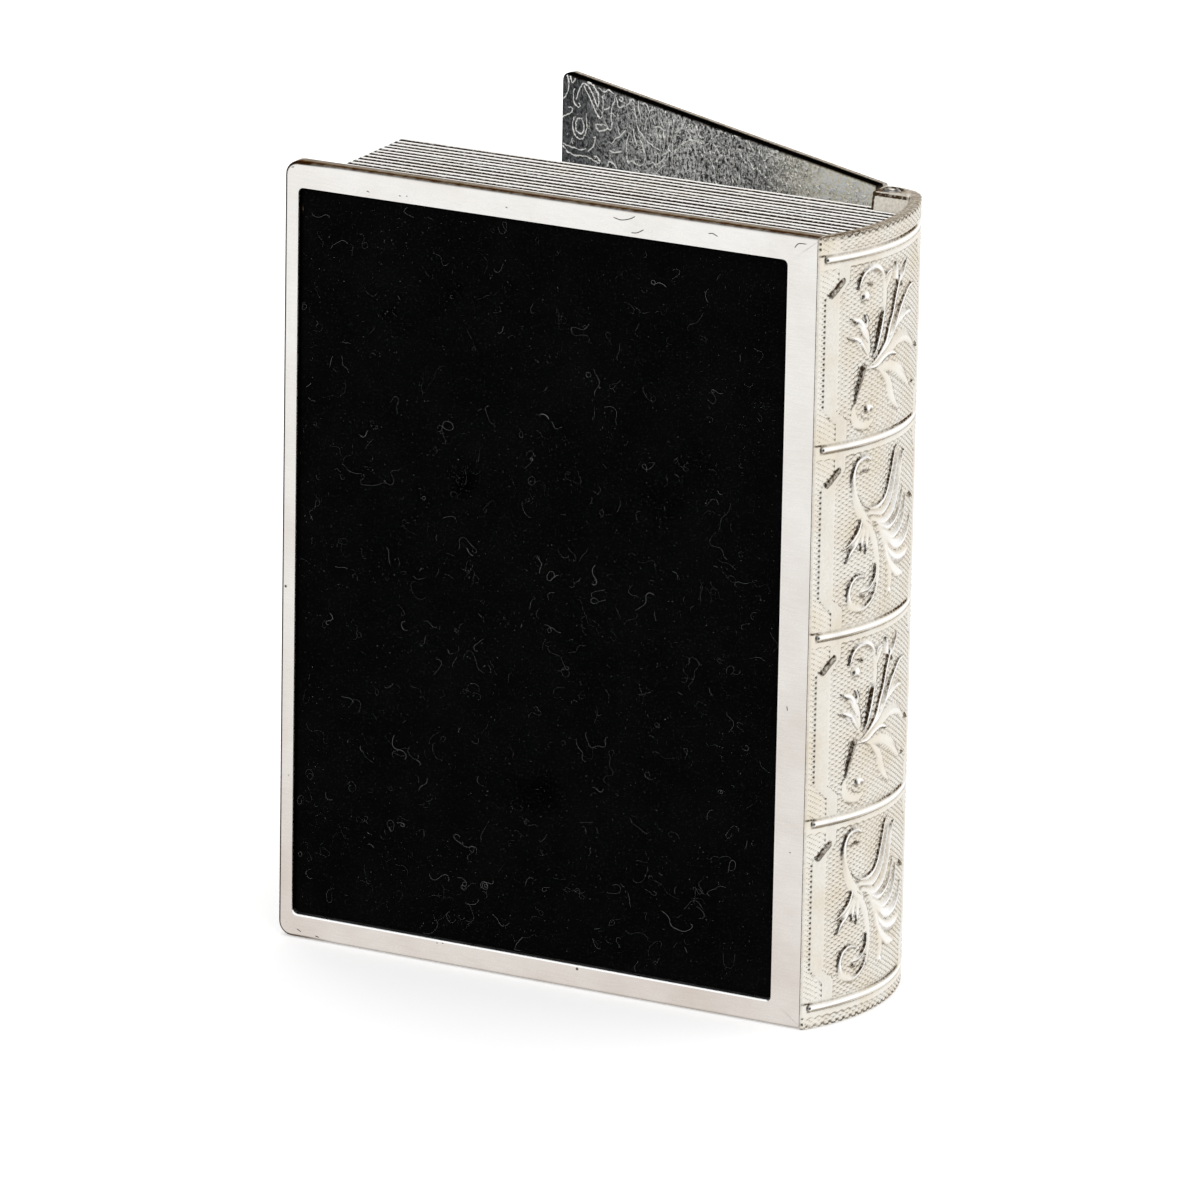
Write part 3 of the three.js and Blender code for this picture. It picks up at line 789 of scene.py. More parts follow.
@dataclass
class BackCover:
    """Flat cast cover with a shallow recess that holds the velvet panel.

    The recess lies recess_gap outside the CAD panel, but for the draws, which bring its edges at the
    fore-edge, the tail and the head inwards to where the photograph has them.
    """

    corner_radius: float = 1.75
    spine_corner_radius: float = 0.15
    edge_radius: float = 0.4
    spine_edge_radius: float = 0.05
    recess_depth: float = 1.5
    recess_corner: float = 0.7
    recess_gap: float = 0.3
    fore_draw: float = 0.58
    tail_draw: float = 0.2
    head_draw: float = 0.35
    draft: float = 0.3
    velvet_gap: float = 0.02
    velvet_step: float = 0.45
    velvet_rim: float = 0.45
    tuft_height: float = 0.035
    ragged: float = 0.11
    ragged_reach: float = 1.2
    nick_radius: float = 0.055
    fibres: int = 600
    fibre_radius: float = 0.0036
    specks: int = 3000
    speck_radius: float = 0.006
    nicks: tuple = (
        ((0.9, 99.2), (1.3, 99.3)), ((11.4, 97.6), (11.8, 97.5)), ((15.9, 97.6), (16.2, 97.6)),
        ((16.9, 97.7), (17.1, 97.7)), ((2.7, 1.1), (3.3, 0.8)), ((5.3, 0.6), (5.9, 0.5)),
        ((22.5, 2.6), (22.7, 2.6)), ((23.3, 2.7), (23.5, 2.7)), ((69.8, 98.4), (70.3, 99), (71.4, 99.1)),
        ((45.3, 98.9), (46.4, 98.7), (47.6, 99), (48.3, 99.4)), ((47.8, 97.3), (48.6, 97.4), (49.5, 97.9)),
        ((58.2, 98.6), (58.8, 98.7), (59.5, 98.4)), ((30.6, 98.2), (30.9, 98.1)),
        ((70.2, 41), (70.3, 40.4)), ((71, 22.5), (71.2, 22.4)))

    def recess(self) -> tuple[np.ndarray, np.ndarray]:
        """Gives the recess's lowest and highest corners."""
        low, high = BOOK.box_of("back_velvet")
        low = low - self.recess_gap + np.array([self.fore_draw, 0, self.tail_draw])
        return low, high + self.recess_gap - np.array([0, 0, self.head_draw])

    def casting(self, finish: Material) -> None:
        """Builds the cover casting, which stands for the CAD node back_cover.

        Args:
            finish: Its material.
        """
        radii = (self.corner_radius, self.spine_corner_radius, self.spine_corner_radius, self.corner_radius)
        loops = []

        def outer(inset: float, y: float) -> None:
            """Adds the cover's outline, drawn in by inset, at depth y."""
            spine = inset * self.spine_edge_radius / self.edge_radius
            loop = rounded_loop(
                (inset, inset), (BOOK.width - spine, BOOK.height - inset),
                tuple(max(r - inset, 0.05) for r in radii))
            loops.append(np.insert(loop, 1, y, axis=1))

        edge = easing(self.edge_radius)
        for inset, depth in edge:
            outer(inset, BOOK.thickness - depth)
        for y in (1.75, 1.3, 0.9, 0.6):
            outer(0.0, y)
        for inset, depth in reversed(edge):
            outer(inset, depth)
        sides = len(loops)
        low, high = self.recess()
        level = BOOK.box_of("back_velvet")[0][1]
        # Loops of the recess: share of the draft, undercut at the fore-edge, and depth
        for grow, wider, depth in (
                (1.0, 0.0, 0.0), (0.95, 0.0, 0.01), (0.35, 0.0, 0.17), (0.3, 0.0, 0.22), (0.0, 0.0, level),
                (0.0, 0.0, level + 0.35), (0.0, 0.5, level + 0.38), (0.0, 0.5, self.recess_depth)):
            loop = rounded_loop(
                (low[0] - 0.12 * grow - wider, low[2] - self.draft * grow),
                (high[0] + 0.04 * grow, high[2] + 0.04 * grow), (self.recess_corner,) * 4)
            loops.append(np.insert(loop, 1, depth, axis=1))
        stations = np.array(loops)
        piece = loft("cover_casting", stations)
        x, y, z = np.moveaxis(stations, -1, 0)
        side = np.arange(len(loops))[:, None] < sides
        # Darker strips lie along the head, the fore-edge and the tail, and painted shade darkens the recess
        # wall at the fore-edge
        strip = np.interp(
            y, (0, 0.4, 0.6, 0.9, 1.3, 1.75, 2.05, 2.4), (0.85, 0.9, 1.05, 0.9, 0.66, 0.66, 0.8, 1.1))
        head = smoothstep(BOOK.height - 0.3, BOOK.height - 0.08, z) * strip
        fore = smoothstep(0, 0.03, y) * (0.35 + 0.8 * smoothstep(0.7, 0.35, y)) * smoothstep(2.4, 1.6, x)
        tail = smoothstep(0.35, 0.1, z) * 0.5
        wall = ~side * (x < low[0] + 0.2) * (z > low[2] + 0.5) * (y > 0.2)
        paint(piece, "tarnish", np.maximum(np.maximum.reduce([head, fore, tail]) * side, wall))
        # A painted highlight makes the recess's bevelled edge at the tail bright
        bevel_highlight = ~side * smoothstep(0.5, 0.1, z - low[2]) * (y > 0.005) * (y < level + 0.01)
        paint(piece, "rubbed", bevel_highlight)
        combine(piece, self.nick_cutter(), "DIFFERENCE")
        crisp(piece, 32)
        dress(piece, finish, "case", "satin_plate", "back_cover")

    def nick_cutter(self) -> Object:
        """Makes the cutter for the small nicks and scratches in the border."""
        bars = Bars(6)
        for nick in self.nicks:
            path = smooth_path(np.insert(np.array(nick, float), 1, 0.0, axis=1), 5)
            radius = np.full(len(path), self.nick_radius)
            radius[[0, -1]] = 0.02
            bars.add(path, radius)
        cutter = make_piece("nicks", np.vstack(bars.points), bars.faces)
        paint(cutter, "tarnish", np.full(bars.count, 1.1))
        return cutter

    def velvet(self, finish: Material) -> None:
        """Builds the velvet panel with its tufts and ragged edges, which stands for back_velvet.

        Args:
            finish: Its material.
        """
        rng = np.random.default_rng(7)
        low, high = self.recess()
        gap = self.velvet_gap
        front, base = (corner[1] for corner in BOOK.box_of("back_velvet"))
        columns, _, rows = ((high - low) / self.velvet_step).astype(int)
        x, z = np.meshgrid(
            np.linspace(low[0] + gap, high[0] - gap, columns),
            np.linspace(low[2] + gap, high[2] - gap, rows))
        for anchor, smoothness in ((low[0], 0.8), (high[0], 1)):
            pull = smoothstep(self.ragged_reach, 0, np.abs(x - anchor))
            x = x + pull * self.ragged * wander(rng, rows, smoothness)[:, None]
        for anchor in (low[2], high[2]):
            pull = smoothstep(self.ragged_reach, 0, np.abs(z - anchor))
            z = z + pull * 0.5 * self.ragged * wander(rng, columns, 1)
        x = np.clip(x, low[0] + 0.01, high[0] - 0.01)
        z = np.clip(z, low[2] + 0.01, high[2] - 0.01)
        from_edge = np.minimum.reduce([x - low[0], high[0] - x, z - low[2], high[2] - z])
        fall = np.clip(1 - from_edge / self.velvet_rim, 0, 1) ** 2
        tuft = blurred(rng.standard_normal(x.shape), 1.0)
        y = front + (base - front) * fall * 0.4 + self.tuft_height * tuft
        grid = np.stack([x, y, z], -1)
        back = grid[:, [0, -1]].copy()
        back[:, :, 1] = base
        stations = np.concatenate([grid, back[:, ::-1]], axis=1)
        ends = stations[[0, -1]].copy()
        ends[:, :, 1] = base - 0.02
        stations = np.concatenate([ends[:1], stations, ends[1:]])
        piece = loft("velvet_panel", stations)
        dress(piece, finish, "case", "velvet", "back_velvet")

    def lint(self, finish: Material) -> None:
        """Scatters loose fibres and specks of dust over the velvet, as one piece.

        Args:
            finish: Their material.
        """
        rng = np.random.default_rng(21)
        low, high = self.recess()
        front = BOOK.box_of("back_velvet")[0][1]
        bars = Bars(3)
        for number in range(self.fibres + self.specks):
            speck = number >= self.fibres
            length = rng.uniform(0.06, 0.3) if speck else rng.gamma(2.0, 1.1)
            steps = max(int(length / 0.18), 3)
            heading = rng.uniform(0, 2 * math.pi)
            bend = rng.normal(0, 0.4) + 1.9 * wander(rng, steps, 2.5)
            turn = heading + np.cumsum(bend) * length / steps
            move = np.stack([np.cos(turn), np.zeros(steps), np.sin(turn)], -1) * length / steps
            start = np.array([
                rng.uniform(low[0] + 1, high[0] - 1), front - 0.05, rng.uniform(low[2] + 1, high[2] - 1)])
            path = start + np.cumsum(move, axis=0)
            path[:, 0] = np.clip(path[:, 0], low[0] + 0.3, high[0] - 0.3)
            path[:, 2] = np.clip(path[:, 2], low[2] + 0.3, high[2] - 0.3)
            path[:, 1] -= 0.04 * np.abs(wander(rng, steps, 2))
            stout = (self.speck_radius if speck else self.fibre_radius) * math.exp(rng.normal(0, 0.55))
            radius = np.full(steps, stout)
            radius[[0, -1]] *= 0.4
            bars.add(path, radius)
        piece = make_piece("velvet_lint", np.vstack(bars.points), bars.faces)
        dress(piece, finish, "case", "velvet")


# Ridged page walls


@dataclass
class PageWalls:
    """Three ridged walls cast to look like the edges of leaves, between the covers and the spine."""

    spine: "SpineCasting"
    ridges: int = 17
    inset_fore_edge: float = 2.35
    outset: float = 0.55
    inset_ends: float = 2.15
    ridge_height: float = 0.45
    wall: float = 1.3
    front_share: float = 0.5
    per_ridge: int = 14
    stain_depth: float = 0.135
    sway: float = 0.02
    shell_gap: float = 0.3
    corner: float = 1.0

    def section(self, rng: np.random.Generator) -> tuple[np.ndarray, np.ndarray]:
        """Draws the section across a wall.

        Args:
            rng: Seeded source of random numbers.

        Returns:
            The y of each point and its depth below the crests.
        """
        low, high = BOOK.box_of("head_pages")
        edges = np.linspace(low[1], high[1], self.ridges + 1)
        edges[1:-1] += rng.normal(0, 0.05, self.ridges - 1)
        y, depth = [], []
        for start, end in zip(edges, edges[1:]):
            share = np.arange(self.per_ridge) / self.per_ridge
            crest = rng.uniform(0.0, 0.03)
            front = np.clip(1 - share / self.front_share, 0, 1)
            back = np.clip((share - self.front_share - 0.1) / (0.9 - self.front_share), 0, 1) ** 0.8
            y.append(start + share * (end - start))
            depth.append(crest + (self.ridge_height - crest) * np.maximum(front, back))
        y = np.concatenate([*y, [high[1]]])
        depth = np.concatenate([*depth, [self.ridge_height]])
        return y, depth

    def wall_piece(
            self, name: str, node: str, place: Callable[[np.ndarray, np.ndarray, np.ndarray], np.ndarray],
            spans: Callable[[np.ndarray, np.ndarray], tuple[np.ndarray, np.ndarray]],
            finish: Material, seed: int) -> None:
        """Builds one wall.

        Args:
            name: The piece's name.
            node: The CAD node that it stands for.
            place: Function from along, y and depth to points.
            spans: Function from y and depth to where the wall starts and ends along its length.
            finish: Its material.
            seed: Seed for its unevenness.
        """
        rng = np.random.default_rng(seed)
        y, depth = self.section(rng)
        low = y[0]
        y, depth = np.append(y, y[::-1]), np.append(depth, np.full(len(y), self.ridge_height + self.wall))
        start, end = spans(y, depth)
        share = np.concatenate([
            np.linspace(0, 0.02, 9), np.linspace(0.03, 0.97, 74), np.linspace(0.98, 1, 9)])
        count, share = len(share), share[:, None]
        along = start + (end - start) * share
        sway = np.stack([wander(rng, count, 9) for _ in range(self.ridges + 1)], -1)
        line = np.clip((y - low) / (y.max() - low) * self.ridges, 0, self.ridges)
        below = np.floor(line).astype(int).clip(0, self.ridges - 1)
        blend = line - below
        shift = (sway[:, below] * (1 - blend) + sway[:, below + 1] * blend) * self.sway
        ridged = len(y) // 2
        shift[:, ridged - 1:] = 0
        shift[:, 0] = 0
        dip = np.clip(depth + shift, 0, None)
        points = place(along, np.broadcast_to(y, along.shape) + shift * 0.7, dip)
        piece = loft(name, points, folded=True)
        # Patina and painted shade fill the hollows, painted shade darkens the strip under the lid, and a
        # few patches of patina lie on the crests
        stain_and_shade = 1.3 * smoothstep(self.stain_depth - 0.03, self.stain_depth + 0.03, depth)
        rim = y.max()
        stain_and_shade = np.maximum(stain_and_shade, smoothstep(rim - 0.5, rim - 0.3, y))
        stain_and_shade[(depth > 1) | (y > rim - 0.01)] = 0.4
        patches = blurred(rng.standard_normal(along.shape), 1.6) * 2.2
        patches = smoothstep(0.9, 2.2, patches) * 0.7
        paint(piece, "tarnish", np.clip(np.broadcast_to(stain_and_shade, along.shape) + patches, 0, 1.3))
        # The crests get polishing and a painted highlight
        paint(piece, "rubbed", smoothstep(0.09, 0.04, depth) * (1 - patches))
        dress(piece, finish, "case", "cast_plate", node)

    def fore_edge_x(self, dip: np.ndarray) -> np.ndarray:
        """Places the fore-edge wall's points: its crests stand a little outside its plain back."""
        return self.inset_fore_edge + np.where(dip > 1, dip + self.outset, dip)

    def rounded(self, along: np.ndarray, dip: np.ndarray) -> tuple[np.ndarray, np.ndarray]:
        """Carries the ridges round the corner of two walls to their mitre.

        Args:
            along: Distance from the corner of the crests.
            dip: Depth below the crests.

        Returns:
            The same two numbers on the rounded corner.
        """
        turn = math.pi / 4 * (1 - np.clip((along - dip) / (self.corner - dip), 0, 1))
        radius = self.corner - dip
        ridge = (dip < 1) & (along < self.corner)
        return (
            np.where(ridge, self.corner - radius * np.sin(turn), along),
            np.where(ridge, self.corner - radius * np.cos(turn), dip))

    def end_points(self, along: np.ndarray, y: np.ndarray, dip: np.ndarray) -> np.ndarray:
        """Places the points of a head or tail wall, its height measured inwards."""
        onward, down = self.rounded(along - self.inset_fore_edge, dip)
        return np.stack([self.inset_fore_edge + onward, y, self.inset_ends + down], -1)

    def fore_points(self, along: np.ndarray, y: np.ndarray, dip: np.ndarray) -> np.ndarray:
        """Places the points of the fore-edge wall."""
        upper = along > BOOK.height / 2
        onward, inward = self.rounded(np.where(upper, BOOK.height - along, along) - self.inset_ends, dip)
        z = np.where(upper, BOOK.height - self.inset_ends - onward, self.inset_ends + onward)
        return np.stack([self.fore_edge_x(inward), y, z], -1)

    def build(self, finish: Material) -> None:
        """Builds the walls at the head, the tail and the fore-edge."""
        spine = self.spine
        reach = spine.inner_radius() - 0.08
        middle = spine.half_depth()
        notch_y = spine.ledge_y() - self.shell_gap
        notch_x = BOOK.pin_x - spine.boss_reach - self.shell_gap

        def end_spans(y: np.ndarray, depth: np.ndarray) -> tuple[np.ndarray, np.ndarray]:
            """Mitre at the fore-edge, and the spine's inner curve or the boss's room."""
            far = spine.centre_x() + np.sqrt(reach**2 - (y - middle) ** 2)
            return self.fore_edge_x(depth), np.where(y > notch_y, notch_x, far)

        def fore_spans(y: np.ndarray, depth: np.ndarray) -> tuple[np.ndarray, np.ndarray]:
            """Mitres at both ends of the fore-edge wall."""
            return self.inset_ends + depth, BOOK.height - self.inset_ends - depth

        def head_points(along: np.ndarray, y: np.ndarray, dip: np.ndarray) -> np.ndarray:
            """Turns the tail wall's points over to the head."""
            return self.end_points(along, y, dip) * (1, 1, -1) + (0, 0, BOOK.height)

        self.wall_piece("head_page_wall", "head_pages", head_points, end_spans, finish, 3)
        self.wall_piece("tail_page_wall", "tail_pages", self.end_points, end_spans, finish, 4)
        self.wall_piece("fore_edge_page_wall", "fore_edge_pages", self.fore_points, fore_spans, finish, 5)


# Carving


@dataclass(frozen=True)
class Stroke:
    """One carved stroke: a path with a half width at each point, in millimetres.

    A path point is the distance along the face and the height from the panel's middle. Its rise and
    shade are one number, or one for each point. Shade is how steep its flank is and how dark the
    painted shade on that flank: above 0 on the left of its way, below 0 on the right. Soot darkens its
    whole width, as patina on some strokes and as painted shadow on others, and bright is how much
    polishing and painted highlight its crest gets.
    """

    path: tuple
    widths: tuple
    rise: float | tuple = 0.3
    shade: float | tuple = 0.0
    section: Section = Section.ROUND
    soot_and_shadow: float = 0.0
    bright: float = 0.8

    def samples(self) -> np.ndarray:
        """Gives rows of place, height, half width, rise and shade along the smoothed path."""
        count = len(self.path)
        values = (self.widths, self.rise, self.shade)
        columns = [np.broadcast_to(np.array(value, float), count) for value in values]
        rows = np.column_stack([np.array(self.path, float), *columns])
        if count > 1:
            rows = smooth_path(rows, 9)
        rows[:, 2] = np.maximum(rows[:, 2], 0.03)
        rows[:, 3:] = np.clip(rows[:, 3:], -1, 1)
        return rows


@dataclass
class Relief:
    """Heights of a carved face on a grid, in millimetres above its plain surface.

    Lift is the share of each stroke's rise that this face keeps.
    """

    along: np.ndarray
    up: np.ndarray
    lift: float = 1.0
    height: np.ndarray = field(init=False)
    cover: np.ndarray = field(init=False)
    stain_and_shade: np.ndarray = field(init=False)
    bright: np.ndarray = field(init=False)

    def __post_init__(self) -> None:
        """Starts with a plain clean face."""
        size = (len(self.up), len(self.along))
        self.height, self.cover, self.stain_and_shade, self.bright = (np.zeros(size) for _ in range(4))

    def press(self, stroke: Stroke, middle: float) -> None:
        """Adds one stroke.

        Args:
            stroke: The stroke.
            middle: Height of the panel's middle.
        """
        rows = stroke.samples()
        centre, width = rows[:, :2] + np.array([0, middle]), rows[:, 2]
        reach = width.max() + 0.5
        (left, low), (right, high) = centre.min(axis=0) - reach, centre.max(axis=0) + reach
        columns = slice(*np.searchsorted(self.along, [left, right]))
        lines = slice(*np.searchsorted(self.up, [low, high]))
        across, upward = np.meshgrid(self.along[columns], self.up[lines])
        if not across.size:
            return
        off_x = across[..., None] - centre[:, 0]
        off_z = upward[..., None] - centre[:, 1]
        distance = np.hypot(off_x, off_z)
        nearest = (distance / width).argmin(-1)
        here = np.take_along_axis(distance, nearest[..., None], -1)[..., 0]
        share = here / width[nearest]
        tangent = np.gradient(centre, axis=0) if len(centre) > 1 else np.array([[0.0, 1.0]])
        tangent = tangent / (np.linalg.norm(tangent, axis=1)[:, None] + 1e-9)
        side = np.take_along_axis(off_x, nearest[..., None], -1)[..., 0] * tangent[nearest, 1]
        side = side - np.take_along_axis(off_z, nearest[..., None], -1)[..., 0] * tangent[nearest, 0]
        lateral = np.clip(side / width[nearest], -1.3, 1.3)
        # Painted shade: the flank on the shaded side is made steep and painted dark
        shade = rows[nearest, 4]
        crest = -0.6 * shade
        flank = smoothstep(0.15, -0.1, (lateral - crest) * np.sign(shade))
        if len(centre) == 1:
            form = np.sqrt(np.clip(1 - share**2, 0, 1))
            flank = smoothstep(-0.2, -0.75, lateral * np.sign(shade))
        elif stroke.section is Section.FLAT:
            form = np.clip((1 - share) * 3, 0, 1)
            flank = np.maximum(
                smoothstep(0.55, 0.7, share) * (lateral < 0), 0.7 * smoothstep(0.8, 0.95, share))
        elif stroke.section is Section.GROOVE:
            form = -np.clip(1 - share**2, 0, 1)
        else:
            slope = np.clip(np.minimum((lateral + 1) / (1 + crest), (1 - lateral) / (1 - crest)), 0, 1)
            form = (1 - (1 - slope) ** 2.2) * np.clip((1 - share) * 4, 0, 1) ** 0.5
        rise = np.where(share < 1, self.lift * rows[nearest, 3] * form, 0)
        # The flank's painted shade reaches a little past the foot; soot covers the whole width, as patina
        # on some strokes and painted shadow on others
        dark = np.abs(shade) * flank * smoothstep(1.22, 1.05, share)
        dark = np.maximum(dark, stroke.soot_and_shadow * smoothstep(1.1, 0.9, share))
        block, stain_and_shade = self.height[lines, columns], self.stain_and_shade[lines, columns]
        if stroke.section is Section.GROOVE:
            block += rise
            np.maximum(stain_and_shade, dark, out=stain_and_shade)
            return
        over = rise > block
        stain_and_shade[over] = dark[over]
        # Polishing and a painted highlight brighten the crests
        crest_polish_and_highlight = stroke.bright * smoothstep(0.35, 0.8, form) * smoothstep(0.1, 0.24, rows[nearest, 3])
        self.bright[lines, columns][over] = crest_polish_and_highlight[over]
        ground = ~over & (block < 0.06)
        stain_and_shade[ground] = np.maximum(stain_and_shade, dark)[ground]
        block[over] = rise[over]
        mask = smoothstep(0.16, 0.02, here - width[nearest])
        np.maximum(self.cover[lines, columns], mask, out=self.cover[lines, columns])

    def clear(self, mask: np.ndarray) -> None:
        """Keeps the knurling off the places where mask is 1."""
        np.maximum(self.cover, mask, out=self.cover)

    def knurl(self, pitch_along: float, pitch_up: float, depth: float) -> None:
        """Cuts two crossing sets of grooves into what is still plain.

        Args:
            pitch_along: Distance between two studs of one row.
            pitch_up: Distance between two rows of the same phase.
            depth: Depth of the grooves.
        """
        across, upward = np.meshgrid(self.along, self.up)
        falling = across / pitch_along + upward / pitch_up
        rising = across / pitch_along - upward / pitch_up
        ridge = [1 - np.abs((wave % 1.0) * 2 - 1) for wave in (falling, rising)]
        stud = np.clip(np.minimum(*ridge) * 1.25, 0, 1)
        ground = -depth * (1 - stud * (2 - stud) * 0.4 - stud * 0.6)
        self.height += ground * (1 - self.cover)

    def hollows(self, cell: float, near: float, far: float) -> np.ndarray:
        """Finds where patina stays in the hollows, and the painted shade of the flanks and of the pits
        beside them.

        Args:
            cell: Size of a grid cell.
            near: Spread of the finer blur.
            far: Spread of the wider blur.

        Returns:
            Numbers from 0 on open places to 1 in deep narrow hollows.
        """
        fine = blurred(self.height, near / cell) - self.height
        wide = blurred(self.height, far / cell) - self.height
        hollow = np.clip(fine * 6.0, 0, 1) * 0.5 + np.clip(wide * 2.2, 0, 1) * 0.4
        beside = np.clip(blurred(self.stain_and_shade, 0.2 / cell) * 1.5, 0, 0.9)
        pits = smoothstep(-0.07, -0.12, self.height)
        return np.maximum(np.maximum(hollow, self.stain_and_shade), beside * pits)

    def rubbed(self) -> np.ndarray:
        """Finds the crests that polishing and a painted highlight make bright, where neither patina nor
        painted shade lies, from 0 to 1.
        """
        return self.bright * (1 - np.clip(self.stain_and_shade, 0, 1))


def scroll_panel() -> list[Stroke]:
    """Strokes of the first panel design: an acanthus spray that rises from a stem over a ball."""
    groove = Section.GROOVE
    return [
        # Broad leaves at the right, under the spray
        Stroke(((9.3, -2.8), (11.8, -1.6), (14.6, -0.4), (17.2, -0.8), (19.6, -2.4)),
            (0.3, 0.5, 0.7, 0.6, 0.2), (0.1, 0.16, 0.2, 0.2, 0.16), (0, 0, 0.1, 0.2, 0.9), bright=0.3),
        Stroke(((10, -3.2), (13, -3.6), (15.8, -5.1), (18, -6.9)), (0.3, 0.6, 0.7, 0.2),
            (0.1, 0.15, 0.2, 0.16), (0, 0, 0.1, 0.9), bright=0.2),
        Stroke(((10.2, -3.4), (12.2, -5.4), (13.2, -7.6), (14.8, -9.2)), (0.3, 0.6, 0.6, 0.2), 0.15,
            bright=0.2),
        Stroke(((12.4, 0.6), (14.6, 1.9), (16.8, 2.5), (18.4, 2.1)), (0.3, 0.5, 0.5, 0.15), 0.24,
            (0, 0, 0.4, 0.8), bright=0.5),
        # Painted shadows at two leaf tips
        Stroke(((20, -2.4), (20.7, -2.6), (21.3, -3)), (0.2, 0.35, 0.15), 0.3, soot_and_shadow=0.8),
        Stroke(((18.9, -6.9), (19.7, -7)), (0.14, 0.2), 0.3, soot_and_shadow=0.8),
        # Stem that rises into the scroll over the ball at the top left
        Stroke(((8.7, -1.5), (9.3, -0.6), (9.7, 0.5), (10.1, 1.8), (10.5, 3.3), (10.9, 4.3), (11.1, 5.5),
            (11, 6.9), (10.7, 8.2), (9.9, 9.2), (8.6, 9.8), (7.3, 9.6), (6.4, 8.8), (5.9, 7.5)),
            (0.15, 0.36, 0.5, 0.56, 0.5, 0.36, 0.32, 0.3, 0.32, 0.38, 0.42, 0.42, 0.38, 0.2),
            (0.2, 0.4, 0.5, 0.55, 0.5, 0.14, 0.1, 0.1, 0.12, 0.2, 0.3, 0.34, 0.38, 0.3),
            (0.5, 0.9, 1, 1, 1, 0.1, 0, 0, 0, 0, -0.1, -0.5, -1, -1)),
        Stroke(((7.2, 6.4),), (0.6,), 0.4, 0.15),
        Stroke(((7.7, 7.9), (8.3, 7.6)), (0.22, 0.12), 0.22, soot_and_shadow=0.8),
        Stroke(((6.4, 7.1), (6.3, 6.2), (6.9, 5.5), (7.9, 5.5)), (0.07, 0.1, 0.1, 0.06), 0.16, 0, groove,
            0.5),
        Stroke(((10.9, 7.8), (11.4, 8.6), (12.4, 8.7)), (0.18, 0.34, 0.1), 0.3, (1, 0.6, 0)),
        Stroke(((12.3, 8.3), (11.7, 7.4), (11.3, 6.7)), (0.2, 0.3, 0.15), 0.15),
        # Main blade with its broken tip
        Stroke(((8.2, -2.5), (9.3, -2), (10.5, -1.1), (11.5, 0.1), (12.1, 1.7), (12.8, 3.1), (13.3, 4.7),
            (13.8, 6.1), (14.3, 7.2)), (0.15, 0.3, 0.42, 0.5, 0.5, 0.5, 0.5, 0.55, 0.5),
            (0.12, 0.15, 0.2, 0.25, 0.28, 0.3, 0.33, 0.36, 0.36), (0.6, 0.8, 1, 1, 1, 1, 1, 1, 1)),
        Stroke(((14.1, 7), (14.8, 6.4)), (0.4, 0.3), 0.3, soot_and_shadow=0.7),
        Stroke(((13.6, 7.6), (13.5, 8.7), (13.1, 9.5)), (0.5, 0.45, 0.15), (0.25, 0.28, 0.3), (0, 0.2, 1)),
        Stroke(((14.4, 7), (15.3, 7.8), (16.2, 9.2)), (0.4, 0.55, 0.15), (0.3, 0.34, 0.3), (0, 0.5, 1)),
        # Second and third lobes
        Stroke(((8.4, -2.5), (10, -1.5), (11.9, -0.3), (13.2, 1.1), (14.4, 2.9), (15.7, 4.3), (17.3, 5.4),
            (19.3, 5.5)), (0.12, 0.3, 0.4, 0.5, 0.55, 0.5, 0.4, 0.15),
            (0.12, 0.2, 0.26, 0.3, 0.3, 0.28, 0.24, 0.15), (0, 0, 0.1, 0.3, 0.8, 0.9, 0.8, 0.5)),
        Stroke(((8.1, -2.8), (9.5, -2.7), (10.9, -2), (12.2, -1.7), (13.2, -1.9), (14, -2.2)),
            (0.12, 0.26, 0.32, 0.32, 0.26, 0.1), 0.32, (-0.4, -0.6, -0.6, -0.5, -0.8, -1)),
        # Small leaves at the left
        Stroke(((7.9, -1.4), (7, -0.1), (6.2, 0.9), (5.1, 1.5)), (0.25, 0.42, 0.42, 0.12),
            (0.08, 0.15, 0.28, 0.34), (0, 0, 0, 1)),
        Stroke(((8, -0.6), (7.6, 1), (6.9, 2.4), (6.2, 3.3), (5.1, 3.8)), (0.3, 0.55, 0.6, 0.48, 0.12),
            (0.08, 0.15, 0.2, 0.36, 0.34), (0, 0, 0, 0.1, 1)),
        Stroke(((7.4, 2.6), (7.4, 3.5), (7.1, 4)), (0.25, 0.32, 0.14), 0.32, (0, 0.4, 1)),
        Stroke(((4.7, 3.9), (5.5, 3.3)), (0.14, 0.22), 0.3, soot_and_shadow=0.8),
        Stroke(((7.3, 3.9), (7.7, 3.2)), (0.22, 0.16), 0.3, soot_and_shadow=0.8),
        Stroke(((4.5, 1.5), (5.3, 1.2)), (0.12, 0.18), 0.3, soot_and_shadow=0.7),
        Stroke(((6.1, 2.6), (6.7, 1.6), (7.6, 0.5)), (0.06, 0.09, 0.06), 0.18, 0, groove, 0.6),
        Stroke(((6.2, 0.8), (6.9, -0.3), (7.6, -1.1)), (0.06, 0.09, 0.06), 0.18, 0, groove, 0.6),
        # Spike below, with the stem's end curling round the ball
        Stroke(((5.6, -7), (5.5, -8.3), (6.2, -9.5), (7.7, -10), (9, -9.5)), (0.25, 0.45, 0.5, 0.4, 0.15),
            0.1),
        Stroke(((7.1, -2.6), (6.6, -3.9), (6.1, -5.3), (5.7, -6.6), (5.45, -7.1)),
            (0.48, 0.42, 0.3, 0.14, 0.05), (0.56, 0.52, 0.4, 0.24, 0.1), -0.9, soot_and_shadow=0.6, bright=0),
        Stroke(((7.9, -7.8),), (0.5,), 0.42, 0.9),
        Stroke(((8.3, -7.6), (9, -7.9)), (0.3, 0.15), 0.3),
        Stroke(((6.8, -8.2), (7.3, -9), (8.6, -9.2)), (0.06, 0.1, 0.06), 0.16, 0, groove, 0.6),
    ]


